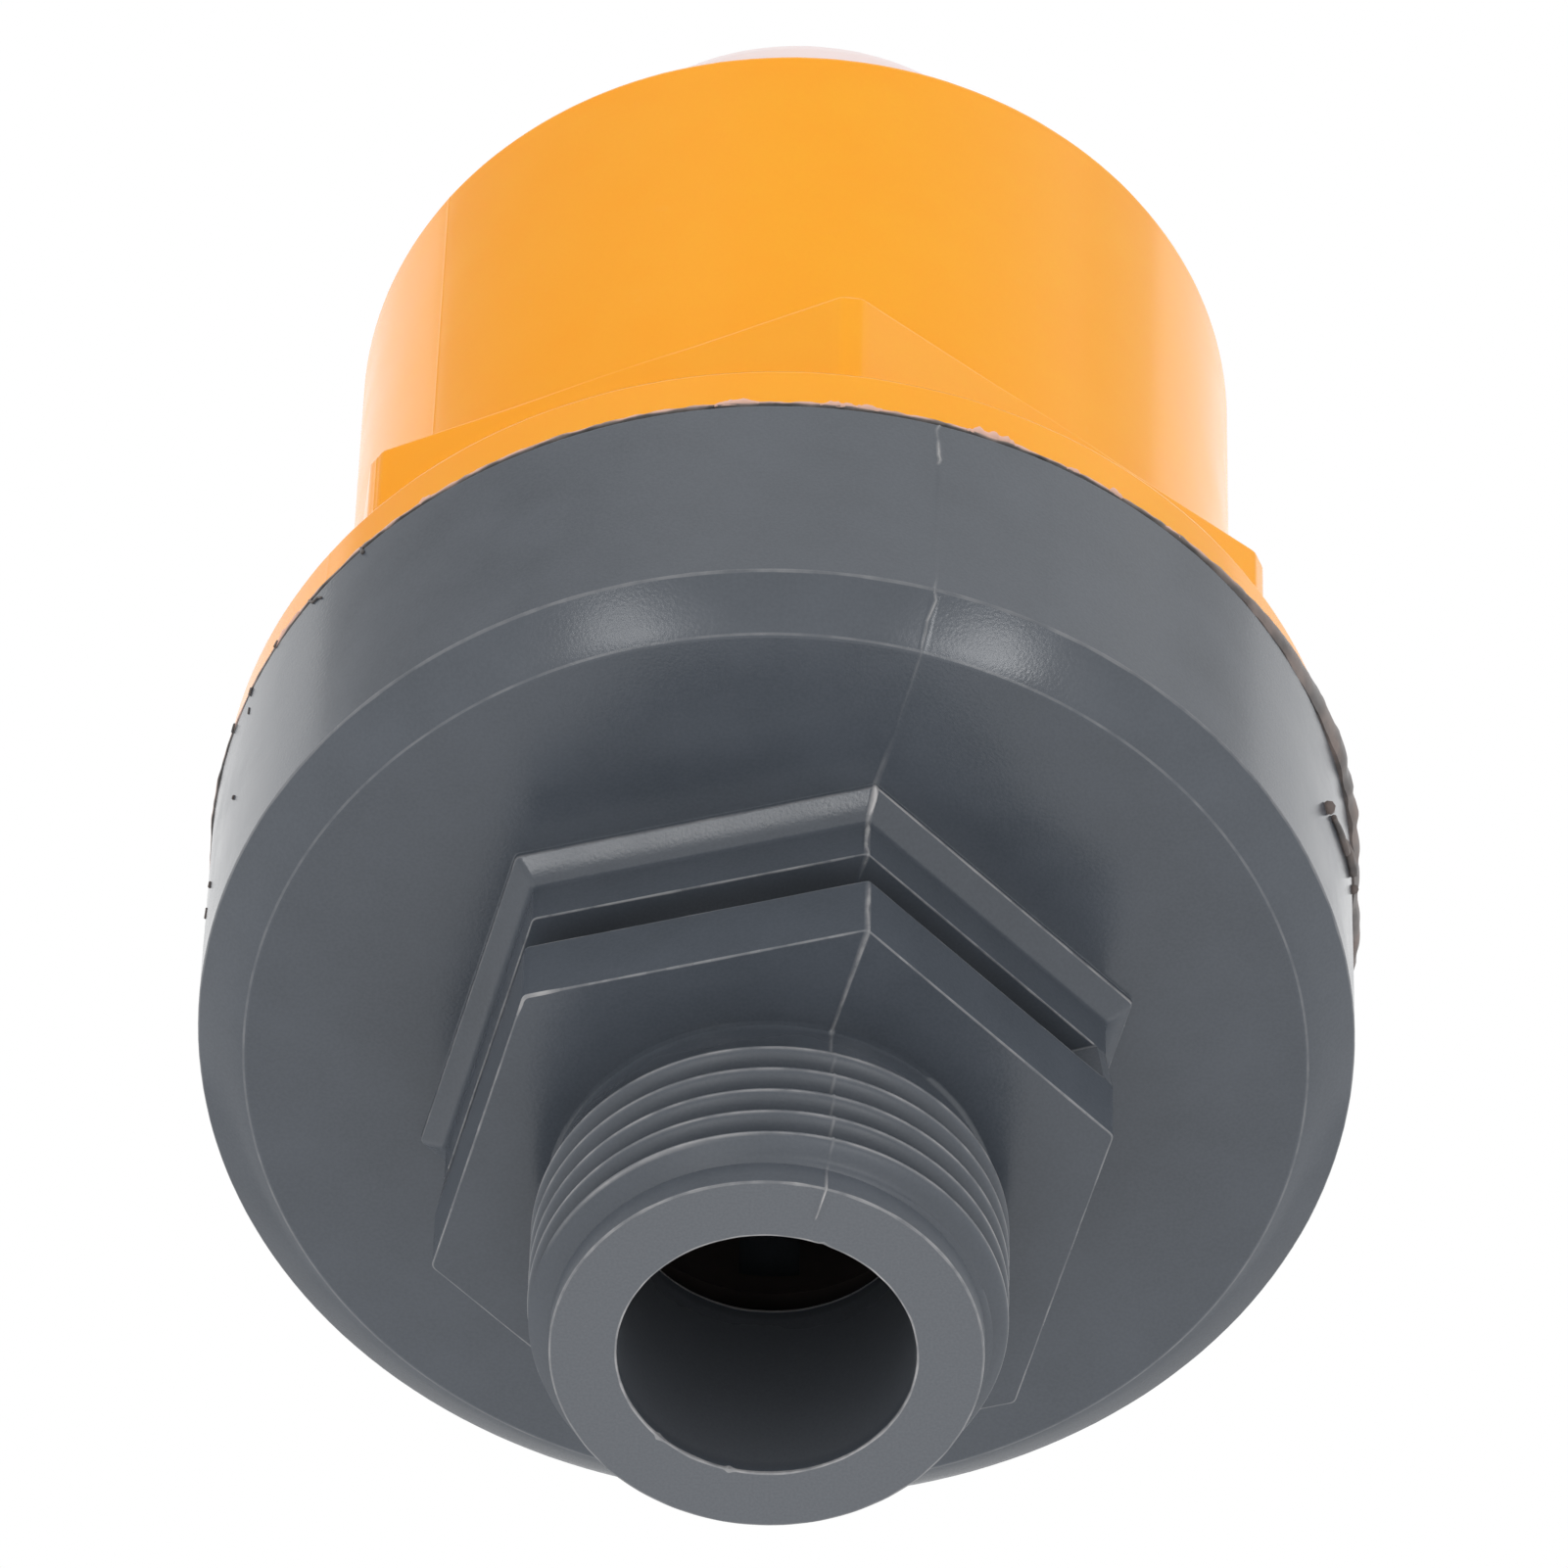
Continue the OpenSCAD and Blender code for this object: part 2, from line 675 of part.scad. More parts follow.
module float_upper_shell() {
    skin = float_r - float_wall;
    lip_out = skin - fixed_gap;
    lip_in_r = lip_out - float_wall;
    socket_r = stem_d / 2 + fixed_gap;
    boss_r = socket_r + socket_wall;
    z_socket = z_float_top - stem_socket;
    under = z_float_top - float_wall;
    color("dimgray") rotate_extrude() polygon([
        [0, z_socket - socket_wall], [boss_r, z_socket - socket_wall], [boss_r, under],
        [skin - float_bevel, under], [lip_in_r, z_float_top - float_bevel - float_wall],
        [lip_in_r, z_float_joint - float_lip_h], [lip_out, z_float_joint - float_lip_h],
        [lip_out, z_float_joint + fixed_gap], [float_r, z_float_joint + fixed_gap],
        [float_r, z_float_top - float_bevel], [float_r - float_bevel, z_float_top],
        [socket_r, z_float_top], [socket_r, z_socket], [0, z_socket]
    ]);
}

module float_stem() {
    stem_base = z_float_top - stem_socket + fixed_gap;
    color("gainsboro") difference() {
        union() {
            translate([0, 0, stem_base]) cylinder(d = stem_d, h = z_head - stem_base + eps);
            translate([0, 0, z_head]) cylinder(d = head_d, h = head_t);
        }
        translate([0, 0, z_head_top - nib_depth]) cylinder(d = nib_d + 2 * fixed_gap, h = nib_depth + eps);
    }
}

module nib_seal() {
    nib_base = z_head_top - nib_depth + fixed_gap;
    color("black") translate([0, 0, nib_base]) cylinder(d = nib_d, h = z_nib_top - nib_base);
}

inlet_base();
upper_body();
weld_flash();
float_cage();
orifice_seat();
seat_o_ring();
vent_screen();
vent_cap();
kinetic_plug();
plug_seal();
air_nozzle();
nozzle_o_ring();
retainer_clip();
float_lower_shell();
float_upper_shell();
float_stem();
nib_seal();
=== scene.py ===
import json
import math

import bmesh
import bpy
from mathutils import Matrix, Quaternion, Vector, noise


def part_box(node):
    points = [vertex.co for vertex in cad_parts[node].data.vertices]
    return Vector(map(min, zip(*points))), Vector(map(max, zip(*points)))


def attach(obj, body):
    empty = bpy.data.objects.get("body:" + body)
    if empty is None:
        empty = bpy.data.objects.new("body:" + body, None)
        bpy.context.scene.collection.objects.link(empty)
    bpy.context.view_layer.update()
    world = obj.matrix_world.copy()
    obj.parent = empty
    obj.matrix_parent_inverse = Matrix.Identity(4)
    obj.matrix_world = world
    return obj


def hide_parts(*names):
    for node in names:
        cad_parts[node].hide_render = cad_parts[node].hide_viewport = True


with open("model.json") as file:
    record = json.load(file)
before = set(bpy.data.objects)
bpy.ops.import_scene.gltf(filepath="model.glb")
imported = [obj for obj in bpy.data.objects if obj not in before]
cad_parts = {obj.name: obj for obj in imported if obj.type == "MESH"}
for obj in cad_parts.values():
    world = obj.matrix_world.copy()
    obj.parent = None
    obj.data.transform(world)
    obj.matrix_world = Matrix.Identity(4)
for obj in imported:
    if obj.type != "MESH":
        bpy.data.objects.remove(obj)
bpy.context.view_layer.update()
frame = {"nodes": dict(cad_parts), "record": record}
mounts = {mount["name"]: mount for mount in frame["record"]["mounts"]}

# Inlet base
# The grey lower half of the valve, one injection moulding in polypropylene: a threaded inlet nozzle, a
# slotted wrench hexagon and a dish. The mould opens along two opposite corners of the hexagon and leaves a
# thin fin there. Sizes here and below are in millimetres, and become metres when a mesh is made.
MM = 0.001
base_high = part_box("inlet_base")[1]
rim_r = base_high.x / MM
z_weld = base_high.z / MM
thread_r = mounts["inlet_thread"]["dims"]["r_mm"]
bore_r = mounts["inlet_bore"]["dims"]["r_mm"]
bore_len = mounts["inlet_bore"]["dims"]["length_mm"]
pilot_r = 11.92
pilot_len = 1.7
thread_lead = 0.9
thread_pitch = 1.925
thread_depth = 1.12
thread_start = 1.79
thread_round = 1.3
thread_steps = 96
thread_fin = 0.35
crest_share = 0.16
crest_worn = 0.75
crest_near = 0.1
z_run_out = 10.9
run_out_slope = 1.2
relief_r = 12.2
z_hex = 13.8
plate_h = 4.6
slot_h = 3.0
z_slot = z_hex + plate_h
z_plate = z_slot + slot_h
z_floor = z_plate + plate_h
lower_af = 33.8
upper_af = 33.1
hex_turn = 14.3
hex_corner = 0.45
hex_edge = 0.07
hex_steps = 6
lower_fin = 0.7
upper_fin = 1.8
flare_out = 1.3
flare_h = 1.7
flare_lip = 0.3
flare_bend = 0.78
flare_rise = 0.82
flare_power = 1.37
flare_steps = 7
slot_core_r = 14.2
web_half = 0.7
web_corners = (60, 240)
cavity_r = 11.0
z_cavity = bore_len + cavity_r - bore_r
dish_r = 29.0
dish_floor = 3.0
z_dish = z_floor + dish_floor
face_r = 24.0
bevel_w = 2.7
bevel_h = 2.4
bevel_steps = 6
crease_w = 0.1
crease_in = 0.03
crease_h = 0.08
bevel_crown = 0.06
crown_outward = 0.66
crown_downward = 0.75
weld_groove = 0.25
rim_mark_drop = 4.2
rim_mark_top = 0.6
z_rim_mark = z_weld - rim_mark_drop
rim_steps = 9
rim_fin = 0.9
fin_height = 0.1
fin_narrow_r = 22.0
bore_nicks = (-136, -167, 20.7)
nick_w = 1.5
nick_depth = 0.18
bore_edge_r = 0.11
bore_margin = 1.0
end_mark_r = 9.6
end_mark_w = 0.4
end_fin = 1.3
nozzle_roughness = 0.2
# One corner of the lower plate is chipped and worn pale
worn_corner = hex_turn - 60
corner_pale = 0.6
corner_pale_w = 4
corner_chip = 0.18
corner_chip_w = 2.5
plate_pale = 0.4
lip_pale = 0.25
lip_pale_front = 0.7
base_fins = (hex_turn, hex_turn + 180)

# Rounded edges: how ragged they are, how much of a side each may take, and the bare strip on both sides of it
edge_grain = 900
edge_ragged = 0.4
edge_ragged_most = 0.04
edge_most = 0.4
strip_w = 0.05
strip_most = 0.48
# Parting fins: half widths in degrees, the height of their flanks, and how height and place wander
fin_reach = 0.35
fin_body = 0.2
fin_core = 0.05
fin_flank = 0.6
fin_thin_flank = 0.4
fin_grain = 1.3
fin_mean = 0.75
fin_ragged = 0.9
fin_ragged_seed = 0.5
fin_least = 0.05
fin_sway = 0.45
fin_sway_seed = 7.5
# Points closer than this are one, and edges over this angle stay sharp
merge_within = 0.002
sharp_over = 52


def polar(angle, radius, height):
    """A point in metres, from an angle in degrees counted from -Y towards +X and sizes in millimetres."""
    turn = math.radians(angle)
    return Vector((radius * math.sin(turn), -radius * math.cos(turn), height)) * MM


def apart(angle, other):
    """How far two angles lie apart, in degrees."""
    return abs((angle - other + 180) % 360 - 180)


def nearness(angle, other, width):
    """1 where two angles are the same, and less the further they lie apart."""
    return math.exp(-(apart(angle, other) / width) ** 2)


def held(value, low=0.0, high=1.0):
    """A value held between two limits."""
    return min(max(value, low), high)


def hexagon(across_flats, corner_round, turn, angles):
    """Radius of a hexagon with rounded corners at each angle."""
    apothem = across_flats / 2
    slope = math.radians(30)
    centre = (apothem - corner_round) / math.cos(slope)
    arc_half = corner_round * math.sin(slope)
    arc_end = math.degrees(math.atan2(arc_half, centre + corner_round * math.cos(slope)))
    radii = []
    for angle in angles:
        from_corner = abs((angle - turn + 30) % 60 - 30)
        bend = math.radians(from_corner)
        if from_corner < arc_end:
            reach = math.sqrt(corner_round ** 2 - (centre * math.sin(bend)) ** 2)
            radii.append(centre * math.cos(bend) + reach)
        else:
            radii.append(apothem / math.cos(slope - bend))
    return radii


def corner_angles(turn, offsets):
    """Angles round the axis that lie at the given offsets from each of six corners."""
    return sorted((turn + 60 * corner + offset) % 360 for corner in range(6) for offset in offsets)


def loft_rings(outline, angles, fins=(), fin_rise=0.0):
    """Rings of (radius, height, paleness from worn plastic and painted light, sway) round the axis for a
    closed outline.

    A corner of the outline is (radius, height, edge, worn, fin). Each but the height is one value, or a list
    with one for each angle. The edge is the size of its rounding, worn says how pale it is, as worn plastic
    and, at the bore's inner end, a painted highlight, and under 0 how much darker it is painted as shade,
    and fin is the strength of the parting fins, which sway to either side."""
    count = len(angles)

    def each(value):
        return value if isinstance(value, list) else [value] * count

    corners = [([Vector((r, height)) for r in each(radius)], each(edge), each(worn), each(fin))
               for radius, height, edge, worn, fin in outline]
    rings = []
    for index, (points, edges, worn, fin) in enumerate(corners):
        if not any(edges):
            rings.append((points, worn, fin))
            continue
        before = corners[index - 1][0]
        after = corners[(index + 1) % len(corners)][0]
        rows = [[] for step in range(5)]
        for angle, corner, edge, last, following in zip(angles, points, edges, before, after):
            back = last - corner
            on = following - corner
            ragged = noise.noise(polar(angle, corner.x, corner.y) * edge_grain)
            size = edge + min(edge_ragged * edge, edge_ragged_most) * ragged
            size = min(size, edge_most * back.length, edge_most * on.length)
            start = corner + back.normalized() * size
            end = corner + on.normalized() * size
            rows[0].append(corner + back.normalized() * min(size + strip_w, strip_most * back.length))
            rows[1].append(start)
            rows[2].append(0.25 * start + 0.5 * corner + 0.25 * end)
            rows[3].append(end)
            rows[4].append(corner + on.normalized() * min(size + strip_w, strip_most * on.length))
        bare = [min(value, 0.0) for value in worn]
        rings += [(row, pale, fin) for row, pale in zip(rows, (bare, worn, worn, worn, bare))]
    lofted = []
    for index, (ring, worn, fin) in enumerate(rings):
        before = rings[index - 1][0]
        after = rings[(index + 1) % len(rings)][0]
        row = []
        for j, angle in enumerate(angles):
            point = ring[j]
            pale = worn[j]
            sway = 0.0
            gap = min((apart(angle, other) for other in fins), default=180)
            if fin[j] and gap < fin_reach:
                along = after[j] - before[j]
                outward = Vector((along.y, -along.x)).normalized() if along.length else Vector((1, 0))
                if point.x < fin_narrow_r:
                    share = 1.0 if gap < fin_body else fin_flank
                else:
                    share = 1.0 if gap < fin_core else fin_thin_flank if gap < fin_body else 0.0
                spot = Vector((point.x * fin_grain, point.y * fin_grain, fin_ragged_seed))
                ragged = fin_mean + fin_ragged * noise.noise(spot)
                spot = Vector((point.x, point.y * fin_grain, fin_sway_seed))
                sway = fin_sway * min(fin[j], 1.0) * noise.noise(spot)
                point = point + outward * (fin_rise * fin[j] * share * max(ragged, fin_least))
                pale = max(pale, fin[j] * share * held(ragged))
            row.append((point.x, point.y, pale, sway))
        lofted.append(row)
    return lofted


def new_shape():
    """An empty bmesh, and the layer in it that holds each point's worn paleness and painted highlight and
    shade.
    """
    shape = bmesh.new()
    return shape, shape.verts.layers.float.new("wear_and_painted_light")


def worn_point(shape, wear_and_shading, place, worn):
    """A point of a bmesh with its worn paleness and painted highlight and shade."""
    vert = shape.verts.new(place)
    vert[wear_and_shading] = worn
    return vert


def loft_mesh(name, rings, angles):
    """A closed mesh through rings of points round the axis, with each point's worn paleness and painted
    highlight and shade as an attribute.
    """
    shape, wear_and_shading = new_shape()
    grid = []
    for ring in rings:
        row = []
        for angle, (radius, height, worn, sway) in zip(angles, ring):
            row.append(worn_point(shape, wear_and_shading, polar(angle + sway, radius, height), worn))
        grid.append(row)
    count = len(angles)
    for low, high in zip(grid, grid[1:] + grid[:1]):
        for j in range(count):
            k = (j + 1) % count
            shape.faces.new((low[j], low[k], high[k], high[j]))
    return closed_mesh(name, shape)


def closed_mesh(name, shape):
    """A smooth mesh from a bmesh, with its doubles merged and its faces turned outwards."""
    bmesh.ops.remove_doubles(shape, verts=shape.verts[:], dist=merge_within * MM)
    bmesh.ops.recalc_face_normals(shape, faces=shape.faces[:])
    mesh = bpy.data.meshes.new(name)
    shape.to_mesh(mesh)
    shape.free()
    mesh.shade_smooth()
    mesh.set_sharp_from_angle(angle=math.radians(sharp_over))
    return mesh


def add_piece(mesh, material, slot_name, *replaced):
    """A piece of the housing at the origin, in its material, which may stand for CAD nodes."""
    piece = bpy.data.objects.new(mesh.name, mesh)
    bpy.context.scene.collection.objects.link(piece)
    if not mesh.materials:
        mesh.materials.append(material)
    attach(piece, "housing")
    if replaced:
        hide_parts(*replaced)


def thread_corners(angles):
    """Corners of a right-hand pipe thread with round crests, which starts and ends on cones."""
    corners = []
    z_end = z_run_out + (thread_r - relief_r) / run_out_slope
    for step in range(thread_steps + 1):
        z = pilot_len + (z_end - pilot_len) * step / thread_steps
        lead = pilot_r + (thread_r - pilot_r) * (z - pilot_len) / thread_lead
        run_out = thread_r - run_out_slope * max(z - z_run_out, 0.0)
        limit = min(lead, run_out, thread_r)
        radii = []
        worn = []
        for angle in angles:
            turn = ((z - thread_start) / thread_pitch - angle / 360) % 1.0
            from_crest = abs(2 * turn - 1)
            drop = math.sin(math.pi / 2 * from_crest ** thread_round) ** 2
            radii.append(max(min(thread_r - thread_depth * drop, limit), pilot_r))
            full = limit > thread_r - crest_near
            worn.append(crest_worn * max(0.0, 1 - from_crest / crest_share) if full else 0.0)
        corners.append((radii, z, 0, worn, thread_fin))
    return corners


def upright(radius, low, high, count, fin):
    """Plain corners one above the other, which carry a fin up a side."""
    return [(radius, low + (high - low) * (step + 0.5) / count, 0, 0, fin) for step in range(count)]


web_outer = math.degrees(math.asin(web_half / (lower_af / 2 / math.cos(math.radians(30)))))
web_inner = math.degrees(math.asin(web_half / slot_core_r))
near_corner = (0.1, 0.28, 0.62, 0.95, 1.4, web_outer, web_inner, 4.0, 6.0)
base_angles = corner_angles(hex_turn, [0, *near_corner, *(-o for o in near_corner), *range(8, 54, 2)])
lower_hex = hexagon(lower_af, hex_corner, hex_turn, base_angles)
upper_hex = hexagon(upper_af, hex_corner, hex_turn, base_angles)
flare = []
for step in range(flare_steps):
    share = step / (flare_steps - 1)
    spread = flare_bend * flare_out * share ** flare_power
    rise = flare_rise * (flare_h - flare_lip) * share
    fillet_hex = hexagon(upper_af + 2 * spread, hex_corner, hex_turn, base_angles)
    flare.append((fillet_hex, z_floor - flare_h + rise, 0, 0, upper_fin))
flare_hex = hexagon(upper_af + 2 * flare_out, hex_corner, hex_turn, base_angles)
at_web = [min(apart(a, hex_turn + corner) for corner in web_corners) < web_outer + 0.01 for a in base_angles]
slot_lower = [outer if web else slot_core_r for outer, web in zip(lower_hex, at_web)]
slot_upper = [outer if web else slot_core_r for outer, web in zip(upper_hex, at_web)]
lip_worn = [lip_pale_front if apart(a, hex_turn + 30) < 30 else lip_pale for a in base_angles]
front_fin = [end_fin if apart(a, hex_turn) < 90 else 0.0 for a in base_angles]
nicked = [max(nearness(a, nick, nick_w) for nick in bore_nicks) for a in base_angles]
bore_edge = [bore_edge_r + nick_depth * share for share in nicked]
pale_spot = [nearness(a, worn_corner + 1.5, corner_pale_w) for a in base_angles]
plate_worn = [plate_pale + corner_pale * share for share in pale_spot]
plate_edge = [hex_edge + corner_chip * nearness(a, worn_corner + 1, corner_chip_w) for a in base_angles]
bevel_rows = []
for step in range(1, bevel_steps):
    share = step / bevel_steps
    crown = 4 * bevel_crown * share * (1 - share)
    row_r = rim_r - bevel_w * (1 - share) + crown * crown_outward
    row_z = z_floor + bevel_h * share - crown * crown_downward
    bevel_rows.append((row_r, row_z, 0, 0, rim_fin))
# Once round the section, from the weld down the inside to the inlet and back up the outside
base_outline = [
    (dish_r, z_weld, 0.2, 0, 0), (dish_r, z_dish, 0.4, 0, 0), (cavity_r, z_dish, 0.2, 0, 0),
    # The bore's inner end edge is painted pale at 3.0, a painted highlight
    (cavity_r, z_cavity, 0.2, 0, 0), (bore_r, bore_len, 0.2, 3.0, 0),
    # Under 0 the bore is painted darker as shade
    (bore_r, bore_len - bore_margin, 0, -0.8, 0), (bore_r, bore_margin, 0, -0.7, 0),
    (bore_r, 0.0, bore_edge, 0.9, 0), (end_mark_r, 0.0, 0, 0, 0),
    (end_mark_r + end_mark_w, 0.0, 0, 0, front_fin), (pilot_r, 0.0, 0.1, 0.7, front_fin),
    *thread_corners(base_angles),
    (relief_r, z_hex, 0.3, 0, lower_fin), (lower_hex, z_hex, plate_edge, plate_worn, lower_fin),
    *upright(lower_hex, z_hex, z_slot, hex_steps, lower_fin),
    (lower_hex, z_slot, hex_edge, plate_pale, lower_fin),
    # Under 0 the slot is painted darker as shade
    (slot_lower, z_slot, 0.2, -1.0, 0), (slot_upper, z_plate, 0.2, -1.0, 0),
    (upper_hex, z_plate, hex_edge, 0.5, upper_fin),
    *upright(upper_hex, z_plate, z_floor - flare_h, hex_steps, upper_fin),
    *flare,
    (flare_hex, z_floor - flare_lip, 0.06, lip_worn, upper_fin), (flare_hex, z_floor, 0.05, 0, 1.0),
    (face_r, z_floor, 0, 0, 0.2), (rim_r - bevel_w - crease_w, z_floor, 0.05, 0, 0.3),
    (rim_r - bevel_w + crease_in, z_floor + crease_h, 0.06, 0.2, 0.5),
    *bevel_rows,
    (rim_r, z_floor + bevel_h, 0.1, 0.25, 0.7), (rim_r, z_floor + bevel_h + 1.2, 0, 0, 0.05),
    (rim_r, z_rim_mark, 0, 0, 0.05), *upright(rim_r, z_rim_mark, z_weld - rim_mark_top, rim_steps, rim_fin),
    (rim_r, z_weld - weld_groove, 0.06, 0, rim_fin), (rim_r - weld_groove, z_weld, 0.05, 0, 0)
]
base_rings = loft_rings(base_outline, base_angles, base_fins, fin_height)


def put(tree, socket, value):
    """Links a socket to another, or sets its plain value."""
    if isinstance(value, bpy.types.NodeSocket):
        tree.links.new(value, socket)
    else:
        socket.default_value = value


def blend_colour(tree, factor, low, high):
    """A colour between two others."""
    mix = tree.nodes.new("ShaderNodeMix")
    mix.data_type = "RGBA"
    for index, value in ((0, factor), (6, low), (7, high)):
        put(tree, mix.inputs[index], value)
    return mix.outputs[2]


def calculate(tree, operation, first, second=0.0):
    """The result of a Math node on one or two values, held between 0 and 1."""
    node = tree.nodes.new("ShaderNodeMath")
    node.operation = operation
    node.use_clamp = True
    put(tree, node.inputs[0], first)
    put(tree, node.inputs[1], second)
    return node.outputs[0]


def remap(tree, value, low, high, to_low=0.0, to_high=1.0):
    """A value carried from one range to another."""
    node = tree.nodes.new("ShaderNodeMapRange")
    put(tree, node.inputs["Value"], value)
    for name, number in (("From Min", low), ("From Max", high), ("To Min", to_low), ("To Max", to_high)):
        put(tree, node.inputs[name], number)
    return node.outputs[0]


def noise_value(tree, vector, scale, detail=2.0):
    """Noise over the surface, about 0.5 on average."""
    node = tree.nodes.new("ShaderNodeTexNoise")
    put(tree, node.inputs["Vector"], vector)
    put(tree, node.inputs["Scale"], scale)
    node.inputs["Detail"].default_value = detail
    return node.outputs["Fac"]


def wear_and_painted_light(tree):
    """The worn paleness and painted highlight that a mesh carries, which is under 0 where shade is painted.
    """
    node = tree.nodes.new("ShaderNodeAttribute")
    node.attribute_name = "wear_and_painted_light"
    return node.outputs["Fac"]


def axes_of(tree, vector):
    """The X, Y and Z of a vector, by name."""
    node = tree.nodes.new("ShaderNodeSeparateXYZ")
    put(tree, node.inputs[0], vector)
    return node.outputs


def new_group(name, inputs, outputs):
    """An empty shader node group with named inputs and outputs, and its two end nodes."""
    group = bpy.data.node_groups.new(name, "ShaderNodeTree")
    for label, kind, value in inputs:
        socket = group.interface.new_socket(label, in_out="INPUT", socket_type=kind)
        if value is not None:
            socket.default_value = value
    for label in outputs:
        group.interface.new_socket(label, in_out="OUTPUT", socket_type="NodeSocketFloat")
    return group, group.nodes.new("NodeGroupInput").outputs, group.nodes.new("NodeGroupOutput").inputs


def use_group(tree, group, **values):
    """A node group placed in a material, with its inputs set by name."""
    node = tree.nodes.new("ShaderNodeGroup")
    node.node_tree = group
    for label, value in values.items():
        put(tree, node.inputs[label.replace("_", " ")], value)
    return node.outputs


def new_material(name):
    """A material with its tree, its Principled shader and the Object coordinates."""
    material = bpy.data.materials.new(name)
    material.use_nodes = True
    tree = material.node_tree
    where = tree.nodes.new("ShaderNodeTexCoord").outputs["Object"]
    return material, tree, tree.nodes["Principled BSDF"], where


def emboss(tree, shader, height, strength, depth_mm):
    """Bump from a height, on the shader's normal."""
    bump = tree.nodes.new("ShaderNodeBump")
    bump.inputs["Strength"].default_value = strength
    bump.inputs["Distance"].default_value = depth_mm * MM
    put(tree, bump.inputs["Height"], height)
    tree.links.new(bump.outputs["Normal"], shader.inputs["Normal"])


def translucent(material, weight, radius, depth_mm):
    """Lets light into a plastic: how much, how far each colour goes, and the depth of that."""
    shader = material.node_tree.nodes["Principled BSDF"]
    shader.inputs["Subsurface Weight"].default_value = weight
    shader.inputs["Subsurface Radius"].default_value = radius
    shader.inputs["Subsurface Scale"].default_value = depth_mm * MM


# The skin of a moulding: broad uneven tone, fine grain, pale specks of dust and short scuffs
moulded_skin, skin_in, skin_out = new_group(
    "moulded_skin",
    [("Vector", "NodeSocketVector", None), ("Mottle Scale", "NodeSocketFloat", 220.0),
     ("Grain Scale", "NodeSocketFloat", 5200.0), ("Speck Share", "NodeSocketFloat", 0.03),
     ("Scuff Share", "NodeSocketFloat", 0.4)],
    ["Tone", "Grain", "Speck", "Scuff"])
tree = moulded_skin
tone = noise_value(tree, skin_in["Vector"], skin_in["Mottle Scale"], 4.0)
put(tree, skin_out["Tone"], remap(tree, tone, 0.3, 0.7))
put(tree, skin_out["Grain"], noise_value(tree, skin_in["Vector"], skin_in["Grain Scale"], 3.0))
cells = tree.nodes.new("ShaderNodeTexVoronoi")
put(tree, cells.inputs["Vector"], skin_in["Vector"])
cells.inputs["Scale"].default_value = 700.0
pick = tree.nodes.new("ShaderNodeSeparateColor")
put(tree, pick.inputs[0], cells.outputs["Color"])
chosen = calculate(tree, "LESS_THAN", pick.outputs[0], skin_in["Speck Share"])
spot = remap(tree, cells.outputs["Distance"], 0.07, 0.12, 1.0, 0.0)
put(tree, skin_out["Speck"], calculate(tree, "MULTIPLY", chosen, spot))
stretch = tree.nodes.new("ShaderNodeMapping")
put(tree, stretch.inputs["Vector"], skin_in["Vector"])
stretch.inputs["Rotation"].default_value = (0.5, 0.3, 0.7)
stretch.inputs["Scale"].default_value = (140.0, 2600.0, 900.0)
streak = noise_value(tree, stretch.outputs["Vector"], 1.0, 1.0)
patch = noise_value(tree, skin_in["Vector"], 130.0, 2.0)
scuff = calculate(tree, "MULTIPLY", remap(tree, streak, 0.66, 0.76), remap(tree, patch, 0.5, 0.62))
put(tree, skin_out["Scuff"], calculate(tree, "MULTIPLY", scuff, skin_in["Scuff Share"]))

# Paler plastic along worn edges and fins, broken up so that it comes and goes, and a painted highlight along
# the bore's inner end edge
worn_and_highlit_edges, worn_in, worn_out = new_group(
    "worn_and_highlit_edges",
    [("Vector", "NodeSocketVector", None), ("Wear", "NodeSocketFloat", 0.0),
     ("Amount", "NodeSocketFloat", 1.0)],
    ["Mask"])
tree = worn_and_highlit_edges
broken = noise_value(tree, worn_in["Vector"], 620.0, 5.0)
level = remap(tree, broken, 0.36, 0.66, 0.35, 1.0)
kept = calculate(tree, "MULTIPLY", worn_in["Wear"], level)
put(tree, worn_out["Mask"], calculate(tree, "MULTIPLY", kept, worn_in["Amount"]))

grain_share = 0.16
grain_depth = 0.02
gloss_drift = 0.04
mark_roughness = 0.25


def moulded_plastic(name, colours, pale, roughness, skin_values, wear_amount, grain=0.25):
    """Moulded plastic: two close colours in broad patches, a third in the grain, pale edges and specks."""
    material, tree, shader, where = new_material(name)
    skin = use_group(tree, moulded_skin, Vector=where, **skin_values)
    edge = use_group(tree, worn_and_highlit_edges, Vector=where, Wear=wear_and_painted_light(tree), Amount=wear_amount)
    colour = blend_colour(tree, skin["Tone"], colours[0], colours[1])
    colour = blend_colour(tree, remap(tree, skin["Grain"], 0.35, 0.65, 0.0, grain_share), colour, colours[2])
    light = calculate(tree, "MAXIMUM", skin["Speck"], skin["Scuff"])
    marks = calculate(tree, "MAXIMUM", light, edge["Mask"])
    colour = blend_colour(tree, marks, colour, pale)
    put(tree, shader.inputs["Base Color"], colour)
    rough = remap(tree, skin["Tone"], 0.0, 1.0, roughness - gloss_drift, roughness + gloss_drift)
    rubbed = calculate(tree, "MULTIPLY", marks, mark_roughness)
    put(tree, shader.inputs["Roughness"], calculate(tree, "ADD", rough, rubbed))
    emboss(tree, shader, skin["Grain"], grain, grain_depth)
    return material, tree, shader, where, colour


grey_plastic, tree, shader, where, colour = moulded_plastic(
    "grey_polypropylene",
    colours=((0.064, 0.0745, 0.09, 1), (0.074, 0.0855, 0.1035, 1), (0.115, 0.129, 0.151, 1)),
    pale=(0.52, 0.51, 0.51, 1), roughness=0.2, wear_amount=0.9, grain=0.4,
    skin_values={"Speck_Share": 0.0, "Scuff_Share": 0.0})
# Painted shade makes the slot and the bore darker, towards near black
wear_and_shading = wear_and_painted_light(tree)
recess_shade = calculate(tree, "MULTIPLY", wear_and_shading, -1.0)
colour = blend_colour(tree, recess_shade, colour, (0.006, 0.006, 0.007, 1))
